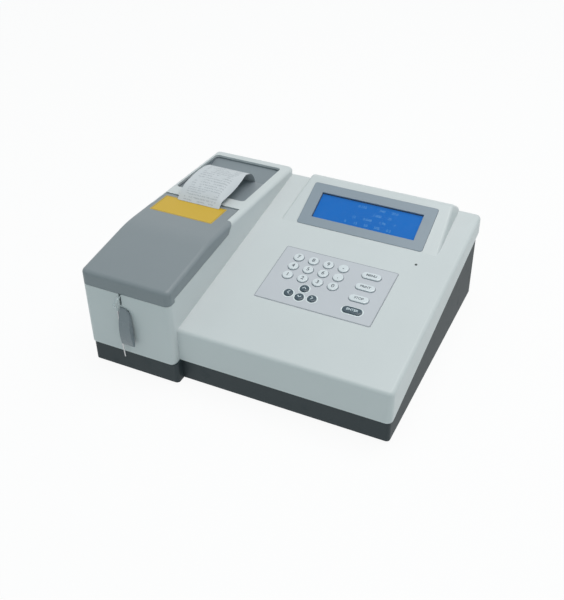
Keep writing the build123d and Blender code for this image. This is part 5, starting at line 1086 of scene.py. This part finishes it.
@dataclass
class Display(Assembly):
    """The blue dot display on the hump, behind its pane and in its bevelled bezel."""

    dressing: Dressing = (
        ("display_bezel", Finish.BEZEL),
        ("lcd_glass", Finish.PANE),
        ("lcd_module", Finish.BLACK),
    )
    centre_x: float = 241.25
    run: float = 33.7
    view_size: Span = (133.0, 39.0)
    view_inset: float = 0.2
    field_corner: float = 0.4
    field_thickness: float = 0.03
    field_height: float = -2.79
    rows: tuple[str, ...] = (
        "              0.125            340      37.0",
        "                          1.000      25",
        "              12       0.048       1.96       7",
        "       0       15      50      505      0.2",
    )
    row_pitch: float = 8.6
    figure_size: float = 5.0
    figure_half_thickness: float = 0.01
    figure_rise: float = 0.05

    def add(self) -> None:
        """Adds the lit field and its rows of figures."""
        where = HUMP.face(self.centre_x, HUMP_FRONT + self.run * math.cos(HUMP.tilt))
        width, height = (size - 2 * self.view_inset for size in self.view_size)
        shape = (self.field_thickness, self.field_corner, self.field_height)
        Piece.plate(width, height, *shape).settle("display_field", Finish.DISPLAY, where)
        top = (len(self.rows) - 1) / 2 * self.row_pitch
        level = self.field_height + self.figure_rise
        for index, row in enumerate(self.rows):
            line = Piece.text(row, self.figure_size, self.figure_half_thickness, level)
            up = Matrix.Translation((0, (top - index * self.row_pitch) * MM, 0))
            line.settle(f"display_row_{index + 1}", Finish.DOTS, where @ up)


@dataclass
class StripPrinter(Assembly):
    """The thermal printer in the tower's recess, and the strip it has printed.

    The strip's path gives its points behind the tray's step and over the tower's top.
    """

    dressing: Dressing = (
        ("printer_tray", Finish.TRAY),
        ("printer_mechanism", Finish.BLACK),
        ("platen_roller", Finish.RUBBER),
        ("paper_roll", Finish.PAPER),
    )
    paper_centre: float = 55.5
    paper_width: float = 58.0
    thickness: float = 0.12
    step_y: float = 263.0
    path: tuple[Span, ...] = (
        (1.4, -23.0), (1.6, -14.0), (1.2, -5.0), (-2.0, 4.0), (-10.0, 11.5), (-23.0, 15.8),
        (-37.0, 17.0), (-55.0, 16.3), (-73.0, 13.6), (-84.0, 8.6), (-94.5, 0.45),
    )
    path_stretch: float = 1.25
    columns: int = 22
    rows_per_span: int = 5
    curl_depth: float = 8.0
    curl_start: float = 0.8
    curl_span: Span = (0.5, 0.93)
    blend_y: Span = (180.0, 171.0)
    smooth_angle: float = 60.0

    def add(self) -> None:
        """Adds the printed strip: out of the slot, over in an arch and down onto the lid."""
        rows = self.rows_per_span * (len(self.path) - 1)
        grid = {"x_subdivisions": self.columns, "y_subdivisions": rows, "size": 1.0}
        strip = Piece(added(bpy.ops.mesh.primitive_grid_add, **grid))
        strip.smooth_angle = self.smooth_angle
        mesh = strip.made.data
        left = self.paper_centre - self.paper_width / 2
        shares = [(vertex.co.x + 0.5, vertex.co.y + 0.5) for vertex in mesh.vertices]
        for vertex, (across, share) in zip(mesh.vertices, shares):
            y, z = self.point(share)
            vertex.co = place(left + self.paper_width * across, y, z - self.droop(across, share))
        length = self.path_stretch * (self.path[0][0] - self.path[-1][0])
        chart = mesh.uv_layers.active.data
        for loop in mesh.loops:
            across, share = shares[loop.vertex_index]
            chart[loop.index].uv = (self.paper_width * across * MM, length * share * MM)
        strip.thicken(self.thickness)
        strip.finish("printed_strip", Finish.PRINTOUT)
        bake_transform(strip.made)
        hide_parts("paper_strip")

    def point(self, share: float) -> Span:
        """A point of the strip's run, smoothed through the path.

        Args:
            share: How far along the run it is, from 0 to 1.

        Returns:
            Its depth and height on the housing.
        """
        places = [
            (self.step_y + behind, TOWER.height(self.step_y + behind) + rise)
            for behind, rise in self.path
        ]
        spans = len(places) - 1
        index = min(int(share * spans), spans - 1)
        within = share * spans - index
        before = places[max(index - 1, 0)]
        after = places[min(index + 2, spans)]
        return tuple(
            0.5 * (2 * b + (c - a) * within + (2 * a - 5 * b + 4 * c - d) * within ** 2
                   + (3 * b - a - 3 * c + d) * within ** 3)
            for a, b, c, d in zip(before, places[index], places[index + 1], after)
        )

    def droop(self, across: float, share: float) -> float:
        """How far the strip's right edge curls under.

        Args:
            across: How far across the strip, from 0 to 1.
            share: How far along it, from 0 to 1.

        Returns:
            How much lower the strip is there.
        """
        edge = max(across - self.curl_start, 0.0) / (1 - self.curl_start)
        first, last = self.curl_span
        wave = math.sin(math.pi * min(max((share - first) / (last - first), 0.0), 1.0))
        return self.curl_depth * edge ** 2 * wave


@dataclass
class SampleDeck(Assembly):
    """The deck under the lid: optics, flow cell, filter wheel, pump and tubing."""

    dressing: Dressing = (
        ("sample_deck", Finish.TRAY),
        ("optics_block", Finish.BLACK),
        ("flow_cell", Finish.PANE),
        ("filter_motor", Finish.STEEL),
        ("filter_wheel", Finish.ALLOY),
        ("lamp_module", Finish.ALLOY),
        ("detector_board", Finish.CIRCUIT),
        ("pump_housing", Finish.TRAY),
        ("pump_rotor", Finish.ROLLER),
        ("pump_motor", Finish.STEEL),
        ("pump_tube", Finish.TUBING),
    )


@dataclass
class RearPanel(Assembly):
    """The fan, sockets, power switch and waste outlet on the back."""

    dressing: Dressing = (
        ("fan_frame", Finish.BLACK),
        ("fan_rotor", Finish.BLACK),
        ("power_inlet", Finish.BLACK),
        ("switch_rocker", Finish.BLACK),
        ("serial_port", Finish.PLATED),
        ("waste_fitting", Finish.STEEL),
    )
    serial_place: Point = (196.0, 319.5, 34.0)
    serial_insert: Span = (14.6, 6.4)
    insert_thickness: float = 0.1
    insert_corner: float = 1.4
    serial_pitch: Span = (2.75, 2.84)
    contact_rows: tuple[tuple[int, float], ...] = ((5, 0.5), (4, -0.5))
    contact_radius: float = 0.5
    contact_depth: float = 0.5
    contact_tip: tuple[Span, ...] = ((0.15, 0.15), (0.15, 0.06))
    blade_place: Point = (299.0, 301.5, 40.0)
    blade_offsets: tuple[Span, ...] = ((-7.0, -2.0), (7.0, -2.0), (0.0, 2.0))
    blade_size: Point = (2.2, 4.2, 12.1)
    blade_corner: float = 0.4
    blade_tip: tuple[Span, ...] = ((0.35, 0.45),)
    rocker_place: Point = (276.0, 315.5, 40.0)
    rocker_angle: float = 9.0
    wing_angle: float = 14.7
    wing_height: float = 2.66
    wing_middle: float = 3.9
    mark_size: float = 3.6
    mark_half_thickness: float = 0.03
    mark_weight: float = 0.08

    def add(self) -> None:
        """Adds the sockets' contacts and the switch's marks."""
        self.serial_contacts()
        self.mains_blades()
        self.rocker_mark("mark_on", "I", 1.0)
        self.rocker_mark("mark_off", "O", -1.0)

    @staticmethod
    def facing_back(x: float, y: float, z: float) -> Matrix:
        """A place on the back, its X running to the viewer's right and its Z out of the panel."""
        turn = Matrix.Rotation(math.pi, 4, "Z") @ Matrix.Rotation(math.pi / 2, 4, "X")
        return Matrix.Translation(place(x, y, z)) @ turn

    def serial_contacts(self) -> None:
        """The dark insert in the serial socket's shell, with its nine contacts."""
        insert = Piece.plate(*self.serial_insert, self.insert_thickness, self.insert_corner)
        where = self.facing_back(*self.serial_place)
        insert.settle("serial_insert", Finish.BLACK, where)
        across, down = self.serial_pitch
        shape = (self.contact_radius, self.contact_depth, self.insert_thickness)
        contacts = []
        for count, row in self.contact_rows:
            for index in range(count):
                contact = Piece.stadium(0.0, *shape)
                contact.dome(self.contact_tip)
                contact.move((index - (count - 1) / 2) * across, row * down)
                contacts.append(contact)
        Piece.joined(contacts).settle("serial_contacts", Finish.STEEL, where)

    def mains_blades(self) -> None:
        """The plated blades in the mains socket."""
        blades = []
        for across, rise in self.blade_offsets:
            blade = Piece.plate(*self.blade_size, self.blade_corner)
            blade.dome(self.blade_tip)
            blade.move(across, rise)
            blades.append(blade)
        where = self.facing_back(*self.blade_place)
        Piece.joined(blades).settle("mains_blades", Finish.PLATED, where)

    def rocker_mark(self, name: str, mark: str, side: float) -> None:
        """The mark for on or off on one of the rocker's two wings.

        Args:
            name: The piece's name.
            mark: The mark.
            side: 1 for the upper wing, -1 for the lower.
        """
        made = Piece.text(mark, self.mark_size, self.mark_half_thickness, 0.0, self.mark_weight)
        wing = Vector((0, self.wing_height, side * self.wing_middle)) * MM
        where = (
            Matrix.Translation(place(*self.rocker_place))
            @ Matrix.Rotation(math.radians(self.rocker_angle), 4, "X")
            @ Matrix.Translation(wing)
            @ Matrix.Rotation(math.pi, 4, "Z")
            @ Matrix.Rotation(math.radians(90.0 + side * self.wing_angle), 4, "X")
        )
        made.settle(name, Finish.INK_WHITE, where, "rocker")


@dataclass
class Electronics(Assembly):
    """The boards and supply inside the housing."""

    dressing: Dressing = (("main_board", Finish.CIRCUIT), ("power_supply", Finish.PLATED))


# The studio


@dataclass(frozen=True)
class SoftLamp:
    """A square soft lamp turned towards the object, in metres and watts."""

    name: str
    where: Point
    size: float
    energy: float
    colour: Colour = (1.0, 0.955, 0.94)
    target: Point = (0.0, 0.0, 0.08)

    def build(self) -> None:
        """Hangs the lamp."""
        lamp = added(bpy.ops.object.light_add, type="AREA", location=self.where)
        lamp.name = self.name
        lamp.data.size = self.size
        lamp.data.energy = self.energy
        lamp.data.color = self.colour
        aim = Vector(self.target) - Vector(self.where)
        lamp.rotation_euler = aim.to_track_quat("-Z", "Y").to_euler()


@dataclass
class Studio:
    """The camera, the soft lamps and the plain pale floor. Its angles are in degrees."""

    camera_place: Point = (571.4, -659.5, 711.0)
    yaw: float = 26.034
    pitch: float = 36.826
    roll: float = -0.907
    lens: float = 59.12
    sensor_width: float = 36.0
    clip_start: float = 0.01
    ambient: float = 0.42
    ambient_colour: Colour = (0.72, 0.97, 1.0)
    floor_size: float = 8.0
    floor_colour: Colour = (0.9, 0.9, 0.9)
    floor_roughness: float = 0.9
    floor_glow: float = 0.93
    white: Colour = (1.0, 1.0, 1.0)
    lamps: tuple[SoftLamp, ...] = (
        SoftLamp("key_lamp", (0.35, 0.15, 1.55), 1.2, 14.9),
        SoftLamp("fill_lamp", (-1.1, -1.2, 1.0), 1.0, 1.0),
    )

    def build(self) -> None:
        """Sets up the view and its light."""
        bpy.context.scene.view_settings.view_transform = "Standard"
        self.camera()
        self.world()
        self.floor()
        for lamp in self.lamps:
            lamp.build()

    def camera(self) -> None:
        """The camera, where the photograph was taken from."""
        yaw, pitch, roll = (math.radians(angle) for angle in (self.yaw, self.pitch, self.roll))
        turn = (
            Matrix.Rotation(yaw, 4, "Z")
            @ Matrix.Rotation(math.pi / 2 - pitch, 4, "X")
            @ Matrix.Rotation(roll, 4, "Z")
        )
        camera = added(bpy.ops.object.camera_add)
        camera.matrix_world = Matrix.Translation(place(*self.camera_place)) @ turn
        camera.data.sensor_fit = "HORIZONTAL"
        camera.data.sensor_width = self.sensor_width
        camera.data.lens = self.lens
        camera.data.clip_start = self.clip_start
        bpy.context.scene.camera = camera

    @staticmethod
    def seen_mask(board: Board) -> Wire:
        """1 for rays that show the background directly, in gloss or through glass."""
        rays = board.node("ShaderNodeLightPath").outputs
        camera, glossy, through = (
            Wire(board, rays[name])
            for name in ("Is Camera Ray", "Is Glossy Ray", "Is Transmission Ray")
        )
        return (camera + glossy + through).clamped()

    def world(self) -> None:
        """A white backdrop to the camera, and an even, faintly cool light on the object."""
        board = Board(bpy.data.worlds.new("studio_air"))
        bpy.context.scene.world = board.owner
        air = board.light("ShaderNodeBackground", self.ambient_colour, self.ambient)
        backdrop = board.light("ShaderNodeBackground", self.white)
        board.show("World Output", self.seen_mask(board), air, backdrop)

    def floor(self) -> None:
        """The floor, white to the camera apart from the object's soft shadow."""
        floor = added(bpy.ops.mesh.primitive_plane_add, size=self.floor_size)
        floor.name = "floor"
        board = Board.of_material("floor_white")
        board.look(Base_Color=self.floor_colour, Roughness=self.floor_roughness)
        glow = board.light("ShaderNodeEmission", self.white)
        share = self.seen_mask(board) * self.floor_glow
        board.show("Material Output", share, board.shader.outputs[0], glow)
        floor.data.materials.append(board.owner)


def main() -> None:
    """Builds the analyzer's looks on the CAD frame, and the studio it stands in."""
    logging.basicConfig(level=logging.INFO, format="%(name)s: %(message)s")
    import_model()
    for assembly in (
        Housing(), SampleLid(), Aspirator(), Keypad(), Display(), StripPrinter(), SampleDeck(),
        RearPanel(), Electronics(), Studio(),
    ):
        assembly.build()
        LOG.info("finished %s", type(assembly).__name__)


if __name__ == "__main__":
    main()
